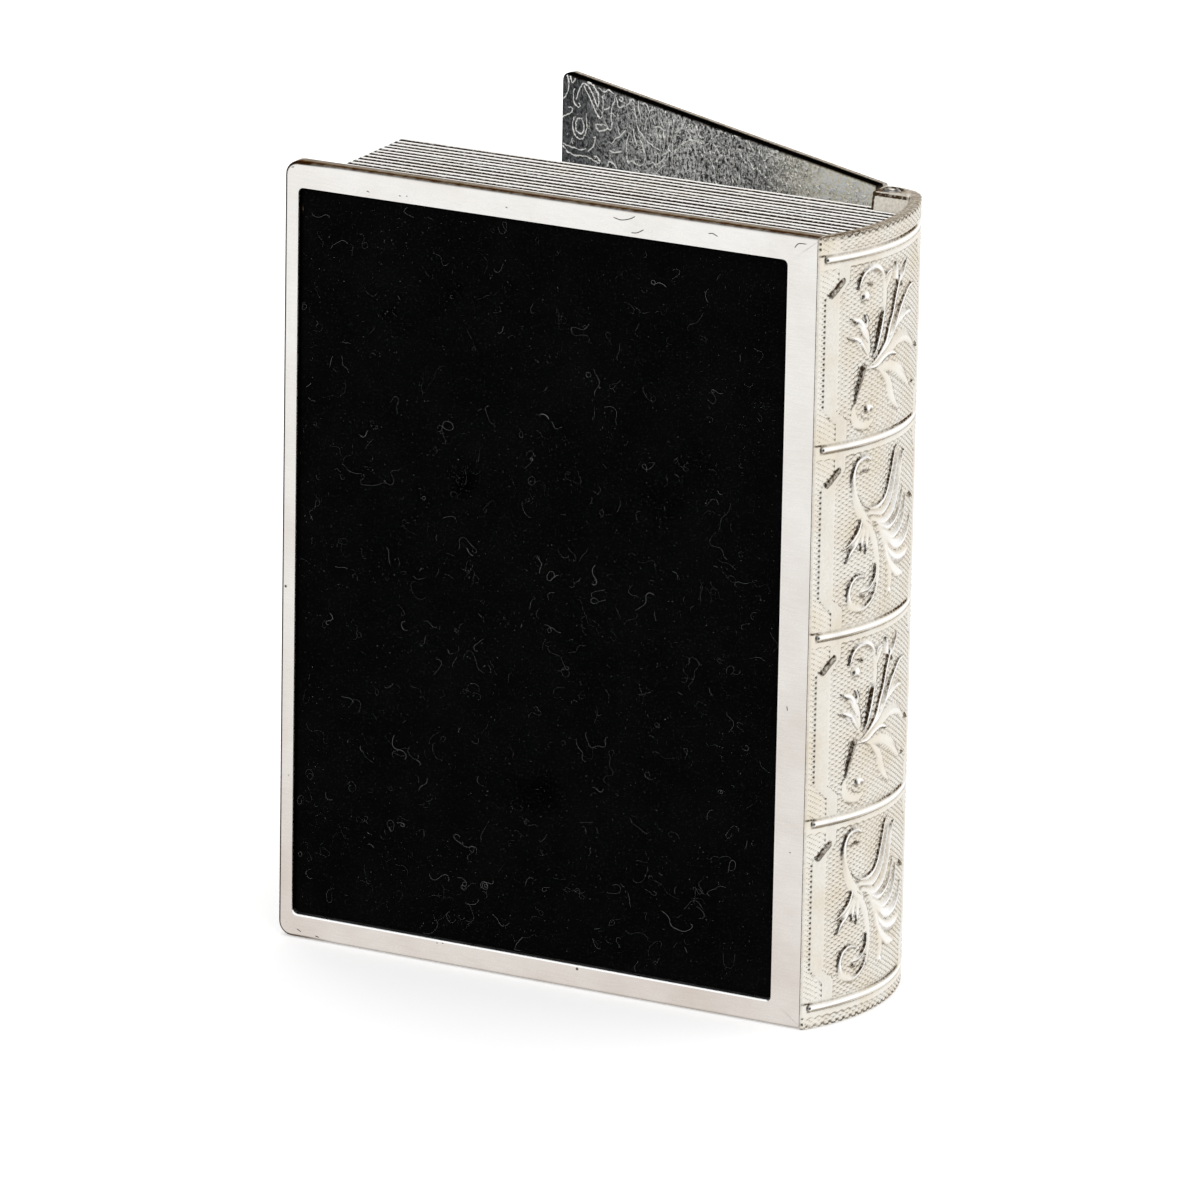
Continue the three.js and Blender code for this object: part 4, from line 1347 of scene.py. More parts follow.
def spray_panel() -> list[Stroke]:
    """Strokes of the second panel design: a fanned acanthus leaf over two stems and a spiral."""
    groove = Section.GROOVE
    return [
        # Lower lobes of the fanned leaf
        Stroke(((12.4, -2.4), (13.6, -4.6), (15.6, -6.4), (17.8, -7.2)), (0.3, 0.6, 0.6, 0.15), 0.18),
        Stroke(((12, -1.6), (13.4, -3.5), (15.4, -4.7), (18, -4.9), (20, -4.5)), (0.3, 0.6, 0.7, 0.6, 0.15),
            (0.1, 0.2, 0.24, 0.22, 0.1), (0, -0.2, -0.3, -0.3, 0)),
        Stroke(((12.2, -1), (14.6, -2.6), (17.2, -2.9), (19.2, -1.9), (20.2, -0.2)),
            (0.35, 0.65, 0.7, 0.6, 0.2), (0.12, 0.22, 0.28, 0.28, 0.2), (0, 0, 0.2, 0.4, 0.6)),
        # Ribs of the fan, the outer ones first
        Stroke(((11.8, -0.4), (14, -1.5), (15.9, -1.1), (17.1, 0), (17.7, 1.5), (17.8, 2.9)),
            (0.3, 0.5, 0.55, 0.5, 0.45, 0.15), (0.15, 0.2, 0.26, 0.28, 0.28, 0.2),
            (0, 0.1, 0.3, 0.4, 0.5, 0.9)),
        Stroke(((10.6, 0.9), (12.8, 0), (14.5, 0.3), (15.7, 1.2), (16.4, 2.6), (16.8, 4)),
            (0.3, 0.5, 0.5, 0.5, 0.45, 0.15), (0.15, 0.22, 0.26, 0.26, 0.24, 0.2),
            (0, 0.3, 0.5, 0.5, 0.4, 0.8)),
        Stroke(((9.6, 1.5), (12, 0.9), (13.8, 1.6), (14.9, 3.2), (15.5, 5.2), (15.9, 7), (16.4, 8.3),
            (17.2, 8.5)), (0.3, 0.45, 0.5, 0.5, 0.5, 0.5, 0.4, 0.15),
            (0.12, 0.22, 0.26, 0.28, 0.3, 0.3, 0.32, 0.3), (0, 0.1, 0.15, 0.2, 0.25, 0.2, 0.7, 1)),
        Stroke(((9, 2.4), (11.4, 2.1), (12.9, 3), (13.8, 4.5), (14.3, 6.1), (14.8, 7.8), (15.3, 8.8)),
            (0.25, 0.42, 0.45, 0.45, 0.42, 0.4, 0.15), (0.12, 0.2, 0.25, 0.28, 0.3, 0.3, 0.2),
            (0, 0.1, 0.2, 0.3, 0.35, 0.35, 0.3)),
        Stroke(((7.6, 3.4), (9.2, 3.1), (10.5, 3.1), (11.7, 3.6), (12.5, 4.6), (13, 5.9), (13.5, 7.2),
            (13.9, 8.5), (14.4, 9.5), (15.3, 9.8)),
            (0.15, 0.36, 0.42, 0.45, 0.45, 0.42, 0.42, 0.4, 0.32, 0.12),
            (0.1, 0.15, 0.2, 0.25, 0.3, 0.33, 0.33, 0.33, 0.25, 0.15),
            (0.1, 0.4, 0.8, 1, 1, 1, 1, 1, 0.8, 0.3)),
        # Painted shadow at a leaf tip
        Stroke(((19.2, 2.7), (20.2, 2.1), (21, 1.7)), (0.2, 0.34, 0.12), 0.3, soot_and_shadow=0.8),
        # Two stems, and the curl at the top left
        Stroke(((11, 0.4), (12.3, -1.5), (13.1, -3.5), (13.7, -5.6), (14, -7.3), (13.7, -8.6)),
            (0.4, 0.5, 0.46, 0.42, 0.38, 0.3), 0.1),
        Stroke(((13.7, -8.3),), (0.42,), 0.3, -0.9),
        Stroke(((10.6, -7.9), (10.9, -6), (10.8, -3.8), (10.2, -1.6), (9.2, 0.4), (7.9, 1.9), (6.9, 3.3),
            (6.1, 5.2), (5.8, 7), (5.9, 8.3), (6.5, 9.4), (7.7, 9.8), (9, 9.2)),
            (0.2, 0.36, 0.42, 0.48, 0.54, 0.62, 0.54, 0.46, 0.42, 0.42, 0.42, 0.38, 0.1),
            (0.1, 0.12, 0.12, 0.12, 0.12, 0.12, 0.1, 0.1, 0.15, 0.32, 0.38, 0.32, 0.15),
            (0, 0, 0, 0, 0, 0, 0, 0.1, 0.5, 1, 1, 0.3, 0)),
        Stroke(((6.9, 8), (7.7, 8.15), (8.5, 8.05)), (0.12, 0.22, 0.1), 0.22, soot_and_shadow=0.7),
        Stroke(((7, 4.8), (7.8, 3.6), (8.8, 3)), (0.06, 0.1, 0.08), 0.2, 0, groove, 0.8),
        Stroke(((8.2, 1.8), (9.3, 0.9), (10.4, -0.6), (11, -2.2)), (0.05, 0.08, 0.08, 0.05), 0.14, 0,
            groove, 0.35),
        # Small leaves at the left
        Stroke(((7.3, 1.8), (6.8, 0.6), (5.9, -0.4), (5, -1), (4, -1.3)), (0.3, 0.42, 0.38, 0.22, 0.05),
            (0.36, 0.42, 0.36, 0.22, 0.1), -1),
        Stroke(((7.4, 0.4), (6.5, -0.9), (5.6, -1.8), (4.8, -3.1)), (0.3, 0.42, 0.38, 0.08),
            (0.1, 0.2, 0.32, 0.32), (0, 0, -0.9, -1)),
        Stroke(((7.9, 0.4), (7.6, -0.8), (7.3, -1.9)), (0.3, 0.32, 0.1), (0.1, 0.2, 0.28), (0, 0, -1)),
        Stroke(((8.6, 0.2), (8.5, -1.2), (8.2, -2.5)), (0.3, 0.32, 0.1), (0.1, 0.2, 0.28), (0, 0, -1)),
        # Spiral at the foot
        Stroke(((10.5, -6.8), (9.9, -8.1), (8.8, -9.1), (7.3, -9.4), (5.9, -8.7), (5.4, -7.2), (5.8, -5.8),
            (6.9, -5.1), (8.2, -5.4)), (0.15, 0.32, 0.36, 0.42, 0.45, 0.42, 0.38, 0.32, 0.1),
            (0.3, 0.38, 0.3, 0.15, 0.12, 0.25, 0.38, 0.32, 0.15), (-1, -1, -0.9, 0, 0, 0.4, 1, 0.8, 0)),
        Stroke(((10.3, -4.2), (10.3, -5.4), (9.8, -6.3), (8.9, -7), (7.8, -7.2)),
            (0.15, 0.34, 0.34, 0.3, 0.14), (0.32, 0.42, 0.42, 0.32, 0.18), (-1, -1, -1, -0.4, 0)),
        Stroke(((7.5, -7.5), (8.2, -7.9)), (0.22, 0.12), 0.2, soot_and_shadow=0.8),
    ]


# Spine


@dataclass
class SpineCasting:
    """Curved spine with bands, ribbons, carved panels and a knurled ground."""

    crown: float = 3.9
    step: float = 0.5
    thickness: float = 1.4
    corner_radius: float = 5.0
    seam: float = 0.1
    barrel_radius: float = 1.6
    boss_depth: float = 4.0
    boss_reach: float = 1.7
    boss_height: float = 5.0
    boss_corner: float = 1.0
    ledge_draft: float = 0.21
    band_inset: float = 2.7
    band_count: int = 5
    band_half_width: float = 0.5
    band_height: float = 0.36
    band_tip: float = 0.5
    band_side_inset: float = 0.45
    ribbon_height: float = 0.04
    ribbon_edge: float = 0.75
    ribbon_width: float = 1.65
    neck_edge: float = 2.45
    neck_width: float = 1.35
    neck_half_length: float = 3.0
    chamfer: float = 1.9
    running_gap: float = 0.35
    knurl_along: float = 1.2
    knurl_up: float = 2 / 3
    knurl_depth: float = 0.17
    cell: float = 2 / 15
    carving_lift: float = 0.68
    edge_radius: float = 0.15

    def closed_depth(self) -> float:
        """Depth of the closed book."""
        return BOOK.pin_y + self.barrel_radius

    def half_depth(self) -> float:
        """Depth of the spine's middle."""
        return self.closed_depth() / 2

    def radius(self) -> float:
        """Radius of the spine's outer face."""
        return (self.half_depth() ** 2 + self.crown**2) / (2 * self.crown)

    def inner_radius(self) -> float:
        """Radius of the shell's inner face."""
        return self.radius() - self.thickness

    def centre_x(self) -> float:
        """Place of the outer face's centre."""
        return BOOK.width + self.step + self.crown - self.radius()

    def ledge_y(self) -> float:
        """Depth of the bosses' ledge."""
        return self.closed_depth() - self.boss_depth

    def start_turn(self) -> float:
        """Angle at which the face starts, at the joint with the cover."""
        return -math.asin(self.half_depth() / self.radius())

    def end_turn(self) -> float:
        """Angle at which the face meets its rounded corner."""
        reach = self.radius() - self.corner_radius
        return math.asin((self.closed_depth() - self.corner_radius - self.half_depth()) / reach)

    def face_length(self) -> float:
        """Length of the face, along its arc, up to the rounded corner."""
        return self.radius() * (self.end_turn() - self.start_turn())

    def corner_centre(self) -> tuple[float, float]:
        """Centre of the rounded corner beside the hinge."""
        reach = self.radius() - self.corner_radius
        x = self.centre_x() + reach * math.cos(self.end_turn())
        return x, self.closed_depth() - self.corner_radius

    def place(self, along: np.ndarray, height: np.ndarray) -> np.ndarray:
        """Turns a distance along the face and a height above it into x and y.

        Args:
            along: Distance from the joint with the cover.
            height: Height above the plain face.

        Returns:
            Points with x and y last.
        """
        turn = self.start_turn() + along / self.radius()
        past = (along - self.face_length()) / self.corner_radius
        turn = np.where(past > 0, self.end_turn() + past, turn)
        corner = self.corner_centre()
        on_corner = past > 0
        centre_x = np.where(on_corner, corner[0], self.centre_x())
        centre_y = np.where(on_corner, corner[1], self.half_depth())
        radius = np.where(on_corner, self.corner_radius, self.radius()) + height
        return np.stack([centre_x + radius * np.cos(turn), centre_y + radius * np.sin(turn)], -1)

    def along_at(self, y: float) -> float:
        """Distance along the face at which it reaches a depth y."""
        return self.radius() * (math.asin((y - self.half_depth()) / self.radius()) - self.start_turn())

    def band_heights(self) -> np.ndarray:
        """Heights of the raised bands."""
        return np.linspace(self.band_inset, BOOK.height - self.band_inset, self.band_count)

    def room_end(self) -> tuple[float, np.ndarray]:
        """Where the lid's room cuts the corner: its angle there, and the cut's lower end."""
        reach = self.barrel_radius + self.running_gap
        outward = np.array([math.sin(BOOK.open_turn), math.cos(BOOK.open_turn)])
        onward = np.array([-math.cos(BOOK.open_turn), math.sin(BOOK.open_turn)])
        corner = np.array(self.corner_centre()) - np.array([BOOK.pin_x, BOOK.pin_y])
        turns = np.linspace(self.end_turn(), math.pi / 2, 400)
        offsets = (corner[0] + self.corner_radius * np.cos(turns)) * outward[0]
        offsets = offsets + (corner[1] + self.corner_radius * np.sin(turns)) * outward[1]
        cut = turns[np.argmax(offsets <= reach)]
        low = np.array([BOOK.pin_x, BOOK.pin_y]) + reach * outward + 0.23 * onward
        return float(cut), low

    def band_and_ribbon_relief(self, relief: Relief) -> None:
        """Adds the bands, the two ribbons and the short bars at their chamfers."""
        across, upward = np.meshgrid(relief.along, relief.up)
        length = self.face_length()
        y_of = self.half_depth() + self.radius() * np.sin(self.start_turn() + across / self.radius())
        y_end = self.half_depth() + self.radius() * math.sin(self.end_turn())
        nearest = self.band_heights()[np.abs(upward[..., None] - self.band_heights()).argmin(-1)]
        from_band = np.abs(upward - nearest)
        share = np.clip((from_band - self.neck_half_length) / self.chamfer, 0, 1)
        edge = self.neck_edge + (self.ribbon_edge - self.neck_edge) * share
        width = self.neck_width + (self.ribbon_width - self.neck_width) * share
        end_stop = np.minimum(upward, BOOK.height - upward) > self.band_inset
        ribbon = np.zeros_like(across)
        for y in (y_of, y_end - y_of):
            inside = np.minimum(y - edge, edge + width - y)
            ribbon = np.maximum(ribbon, smoothstep(-0.35, 0.3, inside) * end_stop * (across < length))
        start, stop = self.along_at(self.band_side_inset), self.along_at(y_end - self.band_side_inset)
        from_tip = np.clip(np.minimum(across - start, stop - across) / self.band_tip, 0, 1)
        size = np.sqrt(np.clip(1 - (1 - from_tip) ** 2, 0, 1))
        round_share = np.clip(np.abs(upward - nearest) / (self.band_half_width * size + 1e-6), 0, 1)
        fade = 1 - 0.75 * smoothstep(13, 24, across)
        band = self.band_height * fade * size * (1 - round_share**2.6) ** 0.6
        np.maximum(relief.height, np.maximum(band, ribbon * self.ribbon_height), out=relief.height)
        # A painted highlight runs along each band, just above its middle
        shine = 0.9 * smoothstep(0.26, 0.1, np.abs(upward - nearest - 0.08)) * (size > 0.3)
        relief.bright = np.maximum(relief.bright, shine)
        relief.clear(np.maximum(smoothstep(0, 0.35, ribbon), 0.25 * smoothstep(3.2, 2.4, across)))
        offset = upward - nearest
        relief.clear(np.where(offset < 0, smoothstep(-1.45, -1.25, offset), smoothstep(0.8, 0.65, offset)))
        # Painted shade outlines each band: round its tip, above it and below it. The ribbons are painted
        # slightly darker
        from_end = np.hypot(across - start - self.band_tip, offset * self.band_tip / self.band_half_width)
        round_end = 0.7 * smoothstep(0.18, 0.02, np.abs(from_end - self.band_tip))
        round_end = round_end * (across < start + self.band_tip)
        above = np.interp(across, (0.8, 1.5, 9, 15, 19.5, 21), (0.9, 0.35, 0.3, 0.9, 1.1, 0))
        above = above * smoothstep(0.2, 0.05, np.abs(offset - 0.52))
        below = 0.4 * smoothstep(0.14, 0.04, np.abs(offset + 0.55)) * (across > start) * (across < stop)
        relief.stain_and_shade = np.maximum.reduce([relief.stain_and_shade, round_end, above, below, 0.07 * ribbon])
        # A short bar and two cuts stand beside each band, where the ribbons turn
        lower = self.neck_half_length + self.chamfer
        bar = Stroke(((1.65, -4.5), (3.3, -3)), (0.38, 0.38), 0.3, 1, Section.FLAT, 0.6, 0)
        long_cut = ((2.6, lower - 0.2), (4.5, lower - 1.7))
        short_cut = ((1.2, lower - 0.9), (2.5, lower - 2))
        for z in self.band_heights()[1:]:
            relief.press(bar, z)
        for z in self.band_heights()[:-1]:
            relief.press(Stroke(long_cut, (0.06, 0.08), 0.12, 0, Section.GROOVE, 0.9), z)
            relief.press(Stroke(short_cut, (0.05, 0.07), 0.1, 0, Section.GROOVE, 0.5), z)

    def relief(self, end: float) -> Relief:
        """Works out the heights of the whole outer face.

        Args:
            end: Distance along the face at which it ends, on the rounded corner.

        Returns:
            The carved and knurled face.
        """
        along = np.linspace(0, end, int(end / self.cell) + 1)
        up = np.linspace(0, BOOK.height, int(BOOK.height / self.cell) + 1)
        relief = Relief(along, up, self.carving_lift)
        bands = self.band_heights()
        middles = ((bands[1:] + bands[:-1]) / 2)[::-1]
        for index, middle in enumerate(middles):
            for stroke in (scroll_panel, spray_panel)[index % 2]():
                relief.press(stroke, middle)
        self.band_and_ribbon_relief(relief)
        relief.knurl(self.knurl_along, self.knurl_up, self.knurl_depth)
        return relief

    def inner_loop(self) -> np.ndarray:
        """Draws the shell's section from the lid's room round its inner face to the joint.

        Returns:
            Rows of x and y.
        """
        _, low = self.room_end()
        centre = (self.centre_x(), self.half_depth())
        first = math.asin((self.ledge_y() - self.half_depth()) / self.inner_radius())
        joint = BOOK.width + self.seam / 4
        last = -math.acos((joint - self.centre_x()) / self.inner_radius())
        inner = arc(centre, self.inner_radius(), first, last, 12)
        return np.vstack([low[None], inner, [[joint, 0.3]], [[joint, 0.0]]])

    def shell(self) -> Object:
        """Builds the carved shell without its bosses."""
        cut, _ = self.room_end()
        end = self.face_length() + (cut - self.end_turn()) * self.corner_radius
        relief = self.relief(end)
        across, upward = np.meshgrid(relief.along, relief.up)
        outer = self.place(across, relief.height)
        inner = self.inner_loop()
        count = len(relief.up)
        ring = np.concatenate([outer, np.broadcast_to(inner, (count, *inner.shape))], axis=1)
        heights = np.broadcast_to(relief.up[:, None, None], (*ring.shape[:2], 1))
        stations = np.concatenate([ring, heights], axis=2)
        hollows = relief.hollows(self.cell, 0.16, 0.5) * np.interp(across, (0, 2.6, 3.4), (0.2, 0.25, 1.0))
        hollows = np.maximum(hollows, relief.stain_and_shade)
        inside = np.full((count, len(inner)), 0.25)
        values = np.concatenate([hollows, inside], axis=1)
        pits = smoothstep(0.4, 0.7, -relief.height / self.knurl_depth)
        near_rim = smoothstep(0.6, 0.3, np.minimum(upward, BOOK.height - upward))
        values[:, :len(relief.along)] = np.maximum(hollows, near_rim * (0.1 + 0.8 * pits))
        values[[0, -1], len(relief.along):] = 0.5
        bright = np.zeros_like(values)
        bright[:, :len(relief.along)] = relief.rubbed()
        # The rims at both ends are drawn in a little, with patina and a painted dark reflection at their
        # edges, darker towards the joint
        rims = stations[[0, -1]].copy()
        rims[:, :len(relief.along), :2] = self.place(relief.along, np.full(len(relief.along), -0.28))
        rim_values = np.full((1, values.shape[1]), 0.7)
        rim_values[0, :len(relief.along)] = 0.5 + 0.4 * smoothstep(10, 1, relief.along)
        stations = np.concatenate([rims[:1], stations, rims[1:]])
        piece = loft("spine_casting", stations)
        paint(piece, "tarnish", np.concatenate([rim_values, values, rim_values]))
        paint(piece, "rubbed", np.pad(bright, ((1, 1), (0, 0))))
        return piece

    def boss(self, low: float, high: float) -> Object:
        """Builds one solid boss round the hinge pin.

        Args:
            low: Its lower end.
            high: Its upper end.

        Returns:
            The boss.
        """
        cut, _ = self.room_end()
        corner = self.corner_centre()
        left = BOOK.pin_x - self.boss_reach
        top = self.closed_depth()
        r = self.boss_corner
        ledge_points = 12

        def outline(inset: float, depth: float) -> np.ndarray:
            """Draws the boss's plan, drawn in by inset, at a depth below its end."""
            hidden = arc(corner, self.corner_radius - 0.5, self.end_turn() + 0.1, cut - 0.1, 4)
            shown = arc(corner, self.corner_radius - inset, cut, math.pi / 2, 8)
            rounded = arc((left + r, top - r), r - inset, math.pi / 2, math.pi, 6)
            across = np.concatenate([
                [left + inset, left + 0.25, left + 0.35],
                np.linspace(left + 0.8, corner[0] + 3.2, ledge_points - 3)])
            ledge = self.ledge_y() + inset + self.ledge_draft * max(2.5 - depth, 0)
            under = np.column_stack([across, np.full(ledge_points, ledge)])
            return np.vstack([hidden, shown, rounded, under])

        eases = easing(self.edge_radius, 3)
        face = [0.45, 0.55, 1.2, 2.4, 3.6, high - low]
        loops = [outline(inset, depth) for inset, depth in [*eases, *((0.0, depth) for depth in face)]]
        heights = [depth for _, depth in eases] + face
        if low:
            loops, heights = loops[::-1], [high - depth for depth in reversed(heights)]
        stations = np.array([np.insert(loop, 2, z, axis=1) for loop, z in zip(loops, heights)])
        piece = loft("boss", stations)
        from_end = np.minimum(stations[..., 2], BOOK.height - stations[..., 2])
        # The ledge under each boss is painted with patina and shade: dark at its inner end and in a line
        # just inside the boss's end
        ledge = np.zeros(stations.shape[:2])
        stain_and_shade, near = ledge[:, -ledge_points:], from_end[:, -ledge_points:]
        stain_and_shade[:] = 0.24
        stain_and_shade[:, :2] = 1.2
        stain_and_shade *= smoothstep(3.8, 1.5, near)
        stain_and_shade[(near > 0.1) & (near < 0.5)] = 1.2
        # A darker band lies along the rounded edge of each boss's end
        darker_edges = np.interp(from_end, (0, 0.02, 0.15, 0.3), (0.08, 0.3, 0.7, 0.12))
        paint(piece, "tarnish", np.maximum(ledge, darker_edges))
        return piece

    def pin_hole(self, end: float, way: int) -> Object:
        """Makes the cutter for a pin's hole and its countersink.

        Args:
            end: Height of the boss's outer end.
            way: 1 where the hole runs up from the tail, -1 where it runs down from the head.

        Returns:
            The cutter.
        """
        profile = [(1.38, -0.3), (1.34, 0.0), (1.05, 0.62), (0.9, 0.7), (0.9, self.boss_height + 0.5)]
        profile = [(radius, end + way * deep) for radius, deep in profile]
        piece = loft("pin_hole", turned((BOOK.pin_x, BOOK.pin_y), profile))
        paint(piece, "tarnish", np.full(len(piece.data.vertices), 0.9))
        return piece

    def build(self, finish: Material) -> None:
        """Builds the whole casting, which stands for the CAD node spine_shell.

        Args:
            finish: Its material.
        """
        piece = self.shell()
        combine(piece, self.boss(0, self.boss_height), "UNION")
        combine(piece, self.boss(BOOK.height - self.boss_height, BOOK.height), "UNION")
        combine(piece, self.pin_hole(0, 1), "DIFFERENCE")
        combine(piece, self.pin_hole(BOOK.height, -1), "DIFFERENCE")
        piece.data.shade_smooth()
        crisp(piece, 50)
        dress(piece, finish, "case", "cast_plate", "spine_shell")

    def pins(self, finish: Material) -> None:
        """Builds the two hinge pins, their ends hammered over in the countersinks."""
        rng = np.random.default_rng(11)
        profile = [
            (0.25, 0.1), (0.55, 0.07), (0.85, 0.03), (1.02, 0.08), (1.12, 0.2), (0.95, 0.6), (0.8, 0.8),
            (0.8, 11.2), (0.55, 11.5)]
        sides = 28
        turn = circle(sides)
        for name, node, end, way in (
                ("head_pin", "head_hinge_pin", BOOK.height, -1), ("tail_pin", "tail_hinge_pin", 0, 1)):
            loops = []
            for radius, deep in profile:
                dented = rng.normal(0, 0.035, sides) if deep < 0.3 else np.zeros(sides)
                loops.append(np.stack([
                    BOOK.pin_x + radius * np.cos(turn) * (1 + dented * 0.5),
                    BOOK.pin_y + radius * np.sin(turn) * (1 + dented * 0.5),
                    end + way * (deep + np.abs(dented))], -1))
            piece = loft(name, np.array(loops))
            crisp(piece, 30)
            dress(piece, finish, "case", "pin_metal", node)


# Lid


def lid_outlines() -> list[tuple]:
    """Outlines on the lid's inner face: distance from the free edge and height, in millimetres."""
    stems = [
        ((u, high), (u + 0.2, high - 1.2), (u - 0.15, high - 2.6), (u + 0.1, high - 4.0), (u, low))
        for u, high, low in (
            (20.9, 97.1, 92), (21.7, 99.2, 92.6), (22.6, 99.6, 94.5), (23.5, 98.7, 92.8), (24.4, 99.2, 93),
            (30.4, 97.2, 91.5), (31.1, 96.7, 91), (32.5, 96.5, 91.5), (33.9, 96, 91), (36.4, 97.6, 91),
            (37.5, 97, 92), (38.9, 98.2, 91.5), (39.9, 96.8, 92), (41.7, 96.4, 92), (42.7, 99.7, 92),
            (43.2, 99.6, 92.5), (44.2, 98, 93), (48.6, 96.2, 92), (49.6, 96.4, 92.5))]
    return [
        *stems,
        ((1, 99.7), (1.5, 98.7), (1.25, 97.5), (0.7, 96.8), (0.1, 96.3)),
        ((1.7, 99.7), (2.3, 99), (2.7, 99.2), (3, 99.7), (4, 99.7)),
        ((4.8, 99.5), (4.1, 98.7), (3.5, 97.8), (3.1, 97)),
        ((2.8, 98.4), (2.5, 97.5), (2.8, 96.4), (3.6, 96), (4.1, 96.3), (3.8, 96.6)),
        ((4.9, 99.1), (5.9, 98), (7, 96.9), (8, 95.8), (8.7, 95.7), (9.1, 96.6), (9.1, 98), (9, 98.6),
         (9.5, 98.9)),
        ((4.9, 99.4), (6, 99.1), (7, 98.1), (7.8, 97.1), (8.2, 97.5), (8.1, 98.6), (7.5, 99.1), (6.6, 99.6),
         (5.5, 99.7)),
        ((8, 99.5), (9.1, 99.2), (10.2, 99.6), (11.4, 99.5)),
        ((9.4, 97), (10, 97.2), (10.6, 97.6)),
        ((11.8, 99.4), (11.6, 98.6), (11.1, 97.5), (11, 96.2), (11.1, 94.9), (10, 94.5), (9.1, 94.1),
         (8.1, 93.9), (7.6, 94.6), (8.6, 94.8), (9.8, 95)),
        ((11.9, 99.1), (12.3, 98.2), (12.7, 97.9), (13.6, 98.3), (14.5, 98.7), (15.5, 99.7)),
        ((12.7, 99.4), (13.4, 99.2), (13.1, 98.8), (12.6, 99)),
        ((15.7, 99.7), (16, 98.7), (16.3, 97.5), (16.7, 96.3), (17.6, 95.6), (18.9, 94.9), (20.5, 94.5),
         (22, 94.4)),
        ((16.7, 99.8), (16.9, 98.9), (17.4, 97.2)),
        ((17.7, 99.6), (18.6, 99.5), (19.2, 98.8), (18.9, 97.8), (18.2, 96.3)),
        ((19.2, 98.8), (20, 99.2), (20.3, 99.6)),
        ((15, 95.2), (14.4, 93.7), (14.5, 92.5), (14.8, 91.3), (15.7, 91.7), (16.4, 91.5), (17.3, 91.4),
         (18.4, 92), (18.5, 93), (17.7, 94.4), (17, 95.3)),
        ((15.7, 95.8), (16.3, 94.6), (16.8, 93.7)),
        ((14.1, 95.3), (12.7, 94.2), (11.8, 93.5), (11.1, 92.8)),
        ((10.6, 92), (11.8, 91.9), (13.4, 92.3)),
        ((10.3, 89.7), (10.6, 90.3), (11.4, 90.5), (12.4, 90)),
        ((5.5, 95.6), (5.6, 93.7), (5.1, 92.5), (4.2, 92), (3.2, 92.2), (2.6, 93), (2.6, 94.1), (3, 94.8)),
        ((4.5, 94.7), (3.6, 94.5), (3.2, 93.7), (3.3, 93), (4, 92.7), (4.8, 93), (5, 93.9), (4.5, 94.7)),
        ((1.4, 95.5), (2.5, 95.6), (2, 94.9), (0.9, 94.4), (0.1, 93.9)),
        ((7.5, 93.1), (7.6, 92.7), (7.3, 91.8), (6.6, 91.2), (6, 90.8)),
        ((0.2, 90.7), (1.4, 90.5), (2.7, 90.6), (4.5, 90.7), (5.5, 91)),
        ((0.5, 90.3), (1.4, 89.8), (3, 89.6), (4.5, 89.9), (6.1, 90), (7.7, 89.8), (8.5, 89.8), (8.4, 90.3),
         (7.3, 90.5)),
        ((20.5, 97.1), (21.6, 97.3), (22.7, 97.1)),
        ((23, 93.7), (21.8, 92.8), (20.7, 92.1)),
        ((22.9, 92.8), (21.8, 91.9), (20.9, 91.2)),
        ((25.2, 97.4), (26.1, 98), (26.7, 98.7), (27.2, 99.7)),
        ((22.1, 93.7), (23.6, 94.6), (24.5, 94.5), (25.4, 95.2), (26.5, 96.2), (27.6, 96.8), (28.3, 97.1),
         (29.5, 97.2), (30.8, 97.2)),
        ((28, 99.7), (28, 98.7), (28.8, 98.2), (29.4, 99), (29.8, 98.3), (30.2, 97.9), (31.1, 97.9)),
        ((27.2, 98.6), (27.7, 98), (28.3, 97.5), (28.1, 97.1)),
        ((34.7, 99.8), (34.2, 99.1), (33.1, 98.3), (31.8, 97.3), (31.1, 96.7)),
        ((35.5, 99.7), (35.6, 98.9), (35.4, 98)),
        ((32.9, 96.4), (33.4, 96.6), (33.4, 96), (33.1, 95), (33.6, 94.1), (33.4, 93)),
        ((33.8, 97.1), (34.3, 96.9), (35, 96.5), (35.4, 97.1), (35.6, 96.6), (35.9, 96)),
        ((37.1, 99.7), (36.9, 98.2), (36.5, 97.5)),
        ((37.5, 99.7), (38.8, 99.7), (40.2, 99.8)),
        ((37.9, 97.8), (38.4, 98.2), (38.9, 98.1)),
        ((40.2, 99.7), (40.4, 98.9), (41, 98.7)),
        ((40.5, 99.8), (41.1, 99.1), (41.8, 98.6), (41.8, 98.1), (40.9, 97.7), (40.3, 97.4), (41.1, 96.9),
         (41.7, 96.2)),
        ((43.9, 96.2), (44.4, 96.2), (44.4, 98.2), (44.9, 98.6)),
        ((44.3, 95.5), (44.2, 97.8), (44.7, 98.3), (45.7, 98.9), (47.4, 98.8), (47.8, 99.2), (48.2, 98.8),
         (48.1, 98), (47.4, 97.1), (46.3, 96.5), (45.6, 96), (45.4, 95.5)),
        ((45.4, 99.4), (46.5, 99.5), (47.4, 99.8), (49.5, 99.8)),
        ((50.6, 99.7), (50.5, 98.7), (50.4, 97.8), (50.8, 97.2)),
        ((52, 99.6), (51.3, 99.1), (50.9, 98.5), (51, 97.8)),
        ((53.3, 99.1), (52.6, 98.2), (52, 97.3)),
    ]


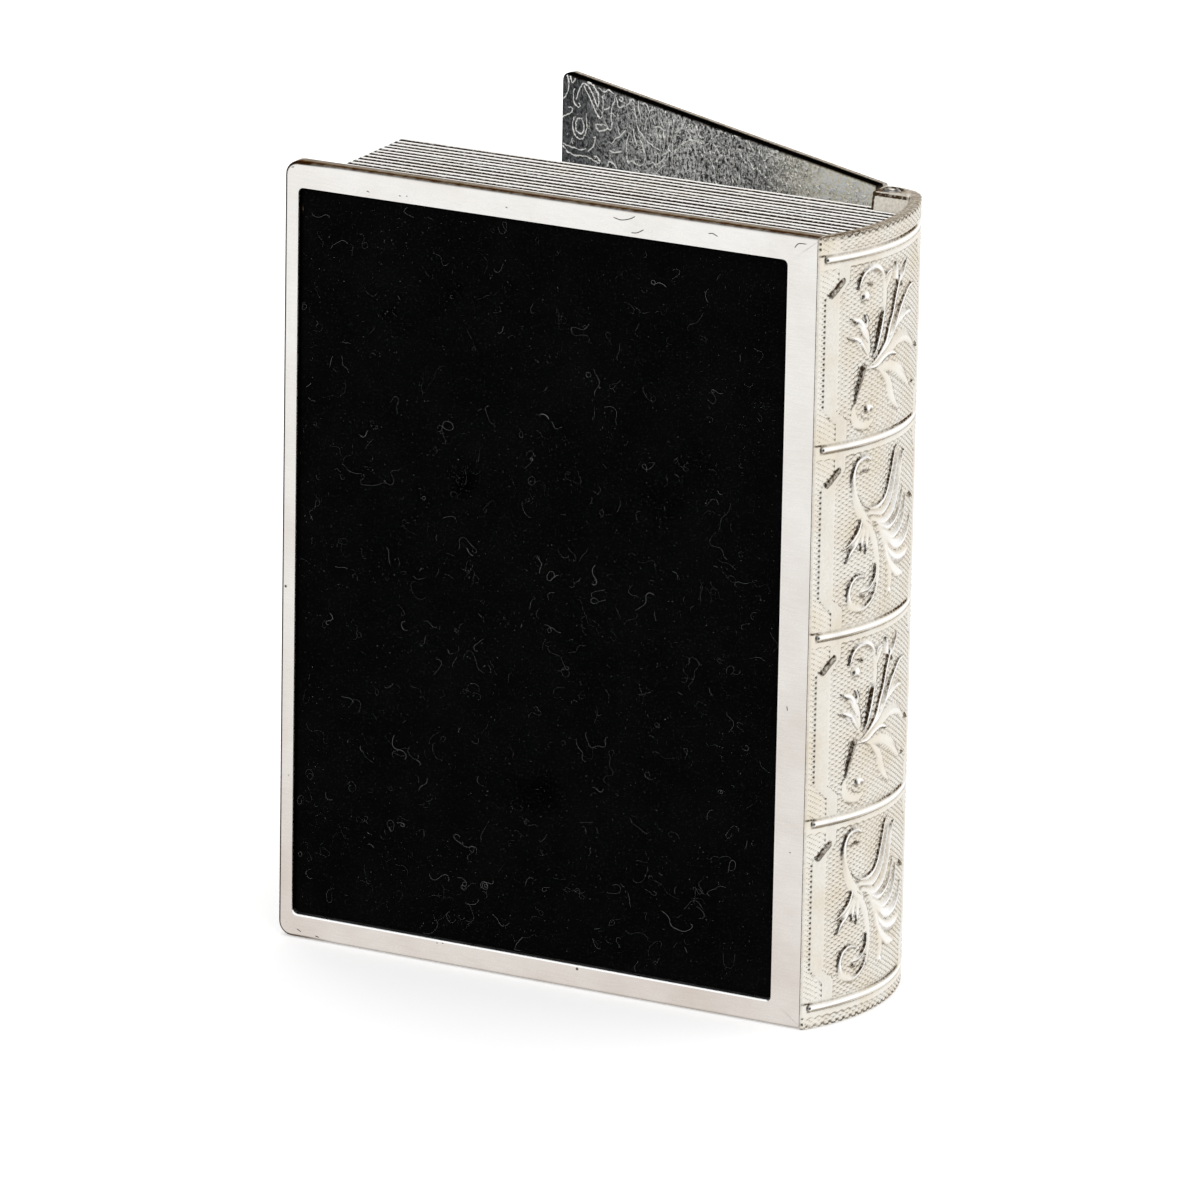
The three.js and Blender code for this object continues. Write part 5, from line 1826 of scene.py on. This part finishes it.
@dataclass
class Lid:
    """Stamped lid plate with its hinge barrel, carved outside and outlined inside."""

    spine: SpineCasting
    thickness: float = 1.8
    setback: float = 2.9
    corner_radius: float = 1.2
    edge_radius: float = 0.3
    line_radius: float = 0.1
    outline_rows: int = 9
    row_pitch: float = 22.4
    mirror_height: float = 88.95
    short_lines: int = 11000
    frame_width: float = 2.6
    panel_depth: float = 0.7
    carving_depth: float = 0.42
    oval_half_width: float = 11.5
    oval_half_height: float = 16.0
    bead_height: float = 0.38
    border_height: float = 0.36
    knurl_depth: float = 0.12
    cell: float = 0.25

    def build(self, inside: Material, outside: Material) -> None:
        """Builds the lid in its own closed place and swings it to where it rests."""
        outer = self.spine.barrel_radius
        inner = outer - self.thickness
        free, hinge = -BOOK.pin_x, -self.setback
        radii = (self.corner_radius, 0.2, 0.2, self.corner_radius)
        loops = []

        def ring(inset: float, y: float) -> None:
            """Adds the plate's outline, drawn in by inset, at depth y."""
            loop = rounded_loop(
                (free + inset, inset), (hinge - inset, BOOK.height - inset),
                tuple(max(r - inset, 0.05) for r in radii))
            loops.append(np.insert(loop, 1, y, axis=1))

        width = self.frame_width
        panel = ((width, self.panel_depth), (width, 0.05), (width - 0.05, 0))
        for inset, depth in (*panel, *easing(self.edge_radius)):
            ring(inset, outer - depth)
        inward = (
            (0, 1), (0, 0.9), (0, 0.6), (0.02, 0.45), (0.05, 0.25), (0.1, 0.08), (0.16, 0.02), (0.3, 0),
            (0.45, 0))
        for inset, depth in inward:
            ring(inset, inner + depth)
        stations = BOOK.lid_to_book(np.array(loops))
        plate = loft("lid_plate", stations)
        # The recess of the outer face and the rounded edge of the inner one are painted darker
        stain_and_shade = np.zeros(stations.shape[:2])
        stain_and_shade[:2] = 0.6
        stain_and_shade[6:9] = 0.5
        stain_and_shade[1 - len(inward):-2] = 1.0
        stain_and_shade[-2] = 0.6
        paint(plate, "tarnish", stain_and_shade)
        paint(plate, "rubbed", np.zeros(stations.shape[:2]))
        low = self.spine.boss_height + self.spine.running_gap
        high = BOOK.height - low
        barrel = [(outer - 0.15, low), (outer, low + 0.15), (outer, high - 0.15), (outer - 0.15, high)]
        combine(plate, loft("barrel", BOOK.lid_to_book(turned((0, 0), barrel))), "UNION")
        start, top = hinge - 0.6, outer - 0.02
        web_loops = [
            [(start, inner, z), (0, inner, z), (0, top, z), (start, top, z)] for z in (low, high)]
        combine(plate, loft("web", BOOK.lid_to_book(np.array(web_loops))), "UNION")
        plate.data.shade_smooth()
        crisp(plate, 35)
        dress(plate, inside, "lid", "dark_plate", "lid")
        plate.data.materials.append(outside)
        towards = BOOK.lid_to_book(np.array([[0.0, -1.0, 0.0], [0.0, 0.0, 0.0]]))
        inwards = towards[0] - towards[1]
        # Faces that look outwards or lie on the sides near the front take the outside's material
        facing = np.array([face.normal for face in plate.data.polygons]) @ inwards
        centres = np.array([face.center for face in plate.data.polygons]) - BOOK.to_row(towards[1])
        outside_faces = (facing < 0.8) & (centres @ inwards < -(inner + 0.95) * MM)
        plate.data.polygons.foreach_set("material_index", outside_faces.astype(np.int32))
        self.outlines(inside)
        self.front(outside)

    def front(self, finish: Material) -> None:
        """Builds the carved panel in the outer face: scrolls on all four sides of a plain oval.

        The photograph shows only this plate's back, so the design is a guess in the spine's style.

        Args:
            finish: Its material.
        """
        inset = self.frame_width + 0.02
        wide, tall = BOOK.pin_x - self.setback - 2 * inset, BOOK.height - 2 * inset
        quarter = Relief(np.arange(0, wide / 2, self.cell), np.arange(0, tall / 2, self.cell))
        for design, middle in ((scroll_panel, 12.6), (spray_panel, 34.2)):
            for stroke in design():
                quarter.press(replace(stroke, path=tuple((s - 2.4, z) for s, z in stroke.path)), middle)
        for path, widths in (
                (((31, 13.2), (27, 14), (23.4, 16.6), (21, 20.6), (20.4, 24.6)), (0.7, 0.9, 0.9, 0.7, 0.2)),
                (((31, 4.2), (27.6, 3.6), (24.4, 4.8), (23, 7.6), (24.2, 10.2), (26.8, 10), (27.4, 7.8)),
                 (0.3, 0.7, 0.8, 0.8, 0.7, 0.6, 0.3)),
                (((22.6, 14.6), (20.6, 12.4), (20, 9.4), (21, 6.6)), (0.3, 0.7, 0.7, 0.2)),
                (((30.9, 17.4), (27.4, 18.6), (24.8, 21.4), (23.4, 25.0)), (0.3, 0.6, 0.6, 0.2))):
            quarter.press(Stroke(path, widths, 0.34, 0.5), 0)
        across, upward = np.meshgrid(quarter.along, quarter.up)
        oval = np.hypot(
            (across - wide / 2) / self.oval_half_width, (upward - tall / 2) / self.oval_half_height)
        bead = np.sqrt(np.clip(1 - ((oval - 1) * 11) ** 2, 0, 1))
        dome = smoothstep(0.93, 0.9, oval) * (0.14 + 0.18 * np.clip(1 - oval**2, 0, 1))
        from_edge = np.minimum(across, upward)
        border = np.sqrt(np.clip(1 - ((from_edge - 1.2) / 0.5) ** 2, 0, 1))
        quarter.clear(np.maximum(smoothstep(1.12, 1.06, oval), smoothstep(2.0, 1.8, from_edge)))
        inside = oval < 1.1
        quarter.height[inside] = np.maximum(bead * self.bead_height, dome)[inside]
        quarter.stain_and_shade[inside] = 0
        # Polishing and a painted highlight brighten the crests of the bead and the border
        quarter.bright[inside] = (0.8 * smoothstep(0.7, 1, bead))[inside]
        quarter.height = np.maximum(quarter.height, border * self.border_height)
        quarter.bright = np.maximum(quarter.bright, 0.8 * smoothstep(0.7, 1, border))
        quarter.knurl(self.spine.knurl_along, self.spine.knurl_up, self.knurl_depth)
        half = [np.concatenate([grid, grid[:, ::-1]], axis=1) for grid in (
            quarter.height, quarter.hollows(self.cell, 0.25, 0.6), quarter.rubbed())]
        height, stain_and_shade, bright = (np.concatenate([grid, grid[::-1]]) for grid in half)
        x = np.linspace(0, wide, height.shape[1]) + inset - BOOK.pin_x
        z = np.linspace(0, tall, height.shape[0]) + inset
        across, upward = np.meshgrid(x, z)
        outer = self.spine.barrel_radius
        grid = np.stack([across, outer + np.minimum(height - self.carving_depth, -0.02), upward], -1)
        back = grid[:, [-1, 0]].copy()
        back[..., 1] = outer - self.panel_depth + 0.01
        piece = loft("lid_front", BOOK.lid_to_book(np.concatenate([grid, back], axis=1)))
        paint(piece, "tarnish", np.pad(stain_and_shade, ((0, 0), (0, 2))))
        paint(piece, "rubbed", np.pad(bright, ((0, 0), (0, 2))))
        crisp(piece, 60)
        dress(piece, finish, "lid", "cast_plate")

    def outlines(self, finish: Material) -> None:
        """Raises the thin outlines that the stamping leaves on the inner face.

        Args:
            finish: Their material.
        """
        rng = np.random.default_rng(17)
        level = self.spine.barrel_radius - self.thickness
        bars = Bars(4)
        rub_and_highlight_values = []

        def line(path: np.ndarray, radius: float, rub_and_highlight: float) -> None:
            """Adds one raised line along a path of distances and heights."""
            path = path[((path > 0.35) & (path < (66.9, BOOK.height - 0.3))).all(axis=1)]
            if len(path) < 3:
                return
            middle = np.stack([path[:, 0] - BOOK.pin_x, np.full(len(path), level), path[:, 1]], -1)
            size = bars.add(middle, radius * (1 + 0.3 * wander(rng, len(path), 1.5)).clip(0.4, 1.6))
            rub_and_highlight_values.append(np.full(size, rub_and_highlight))

        for row in range(self.outline_rows):
            for curve in lid_outlines():
                u, z = np.array(curve, float).T
                if row % 2:
                    z = 2 * self.mirror_height - z
                path = np.stack([u, z - (row // 2) * self.row_pitch], -1)
                path = smooth_path(path, max(len(u) * 2, 6))
                path = path + 0.05 * np.stack([wander(rng, len(path), 1.2) for _ in range(2)], -1)
                line(path, self.line_radius, 1.0)
        for _ in range(self.short_lines):
            start = np.array([rng.uniform(0.4, 66.5), rng.uniform(0.4, 99.7)])
            crowd = smoothstep(3.0, 18.0, start[0]) * (1 - 0.75 * smoothstep(46.0, 58.0, start[0]))
            if rng.uniform() > 0.15 + 0.85 * crowd:
                continue
            steps = int(rng.uniform(4, 9))
            turn = rng.choice([0.0, math.pi / 2, rng.uniform(0, math.pi)])
            turn = turn + np.cumsum(0.5 * wander(rng, steps, 1.5))
            step = np.stack([np.cos(turn), np.sin(turn)], -1) * rng.uniform(0.12, 0.24)
            path = start + np.cumsum(step, axis=0)
            line(path, self.line_radius * rng.uniform(0.35, 0.75), rng.uniform(0.1, 1.0))
        piece = make_piece("lid_outlines", BOOK.lid_to_book(np.vstack(bars.points)), bars.faces)
        paint(piece, "tarnish", np.zeros(bars.count))
        # The raised lines are painted near white, as polishing and painted highlight
        paint(piece, "rubbed", np.concatenate(rub_and_highlight_values))
        dress(piece, finish, "lid", "dark_plate")


# Lining


@dataclass
class Lining:
    """Velvet lining of the inside, over card."""

    edge_radius: float = 0.3

    def pad(self, name: str, node: str, finish: Material) -> None:
        """Builds one velvet-covered strip with soft edges.

        Args:
            name: The piece's name.
            node: The CAD node that it stands for.
            finish: Its material.
        """
        low, high = BOOK.box_of(node)
        size = high - low
        thin = int(np.argmin(size))
        radius = min(self.edge_radius, size[thin] * 0.45)
        flat = [axis for axis in range(3) if axis != thin]
        loops = []
        eases = easing(radius, 3)
        levels = [(inset, low[thin] + depth) for inset, depth in eases]
        levels += [(inset, high[thin] - depth) for inset, depth in reversed(eases)]
        for inset, level in levels:
            loop = rounded_loop(
                tuple(low[flat] + inset), tuple(high[flat] - inset), (max(radius - inset, 0.05) + 0.3,) * 4)
            loops.append(np.insert(loop, thin, level, axis=1))
        piece = loft(name, np.array(loops))
        dress(piece, finish, "case", "velvet", node)

    def build(self, finish: Material) -> None:
        """Builds the floor and the four strips."""
        for node in ("floor_velvet", "fore_edge_lining", "spine_lining", "tail_lining", "head_lining"):
            self.pad(f"{node}_cloth", node, finish)


# Studio


@dataclass(frozen=True)
class SoftPanel:
    """A soft patch of the surroundings that the metal mirrors."""

    towards: tuple[float, float, float]
    inner: float
    outer: float
    colour: str


@dataclass
class Studio:
    """Pale floor, soft surroundings and the camera at the photograph's viewpoint."""

    azimuth: float = 27.102
    elevation: float = 16.693
    roll: float = 1.046
    distance: float = 1316.89
    target: tuple[float, float, float] = (37.94, 12.78, 46.18)
    lens: float = 319.8
    sensor: float = 36.0
    tent: str = WHITE
    strength: float = 1.12
    floor_size: float = 3.0
    panels: tuple[SoftPanel, ...] = (
        SoftPanel((0.55, -0.78, -0.22), 24, 42, "#1A140F"),
        SoftPanel((-1.0, -0.05, -0.15), 18, 36, "#BDBDBD"),
        SoftPanel((-0.83, 0.11, 0.55), 12, 26, "#151515"),
        SoftPanel((-0.43, 0.86, 0.28), 14, 30, "#EEEBE8"),
        SoftPanel((0.5, 0.42, -0.76), 8, 24, "#A39A8F"),
    )

    def camera(self) -> None:
        """Places the camera."""
        azimuth, elevation, roll = (math.radians(v) for v in (self.azimuth, self.elevation, self.roll))
        level = math.cos(elevation)
        back = np.array([math.sin(azimuth) * level, -math.cos(azimuth) * level, math.sin(elevation)])
        right = np.array([math.cos(azimuth), math.sin(azimuth), 0.0])
        upward = np.cross(back, right)
        x_axis = right * math.cos(roll) + upward * math.sin(roll)
        y_axis = upward * math.cos(roll) - right * math.sin(roll)
        place = BOOK.to_row(np.array(self.target) + back * self.distance)
        data = bpy.data.cameras.new("photo_camera")
        data.lens = self.lens
        data.sensor_width = self.sensor
        data.clip_start = 0.05
        data.clip_end = 20.0
        camera = bpy.data.objects.new("photo_camera", data)
        bpy.context.scene.collection.objects.link(camera)
        columns = [(*x_axis, 0.0), (*y_axis, 0.0), (*back, 0.0), (*place, 1.0)]
        camera.matrix_world = Matrix(columns).transposed()
        bpy.context.scene.camera = camera

    def surroundings(self) -> None:
        """Wraps the scene in a white tent with darker patches for the metal to mirror."""
        world = bpy.data.worlds.new("studio")
        bpy.context.scene.world = world
        world.use_nodes = True
        tree = world.node_tree
        tree.nodes.clear()
        way = add_node(tree, "TexCoord").outputs["Generated"]
        colour = add_node(tree, "RGB")
        colour.outputs[0].default_value = linear(self.tent)
        for panel in self.panels:
            aim = np.array(panel.towards) / np.linalg.norm(panel.towards)
            facing = add_node(tree, "VectorMath", {"operation": "DOT_PRODUCT", 1: tuple(aim)}, {0: way})
            mask = add_node(
                tree, "MapRange",
                {"interpolation_type": "SMOOTHSTEP", "From Min": math.cos(math.radians(panel.outer)),
                 "From Max": math.cos(math.radians(panel.inner))},
                {"Value": facing})
            colour = add_node(tree, "Mix", {**COLOURS, SECOND: panel.colour}, {SHARE: mask, FIRST: colour})
        seen = add_node(tree, "LightPath").outputs["Is Camera Ray"]
        shown = add_node(tree, "Mix", {**COLOURS, SECOND: WHITE}, {SHARE: seen, FIRST: colour})
        light = add_node(tree, "Background", {"Strength": self.strength}, {"Color": shown})
        add_node(tree, "OutputWorld", links={"Surface": light})

    def floor(self) -> None:
        """Lays a plain pale floor."""
        half = self.floor_size / 2
        mesh = bpy.data.meshes.new("floor")
        corners = [(-half, -half, 0), (half, -half, 0), (half, half, 0), (-half, half, 0)]
        mesh.from_pydata(corners, [], [(0, 1, 2, 3)])
        floor = bpy.data.objects.new("floor", mesh)
        bpy.context.scene.collection.objects.link(floor)
        material, tree, shader, _ = new_material("pale_floor")
        add_node(tree, shader, {
            "Base Color": "#F4F4F4", "Roughness": 0.9, "Specular IOR Level": 0.1,
            "Emission Color": WHITE, "Emission Strength": 0.35})
        mesh.materials.append(material)
        floor.visible_glossy = False
        floor.location.z = -0.0001

    def build(self) -> None:
        """Sets up the camera, the surroundings and the floor."""
        self.camera()
        self.surroundings()
        self.floor()
        bpy.context.scene.view_settings.view_transform = "Standard"


def main() -> None:
    """Builds every piece in order."""
    Studio().build()
    cast = CastSilverPlate().material()
    # The page walls take a copy of the cast plate that is lighter on the crests and darker in the hollows,
    # as painted highlight and shade
    pages = CastSilverPlate(
        name="ridged_silver_plate", plate="#FCFAF6", warm="#F3ECDF", tarnish="#2B1E13").material()
    satin = SatinSilverPlate().material()
    stamped = StampedPlate().material()
    steel = PeenedSteel().material()
    velvet = BlackVelvet().material()
    card = GreyCard().material()
    cover = BackCover()
    cover.casting(satin)
    cover.velvet(velvet)
    cover.lint(CottonLint().material())
    spine = SpineCasting()
    PageWalls(spine).build(pages)
    spine.build(cast)
    spine.pins(steel)
    Lid(spine).build(stamped, cast)
    Lining().build(velvet)
    for node, finish in (("back_board", card), ("floor_board", card), ("spine_inner_wall", cast)):
        carried = frame["nodes"][node]
        carried.data.materials.clear()
        carried.data.materials.append(finish)
        log.info("%s: kept from the part", node)


if __name__ == "__main__":
    main()
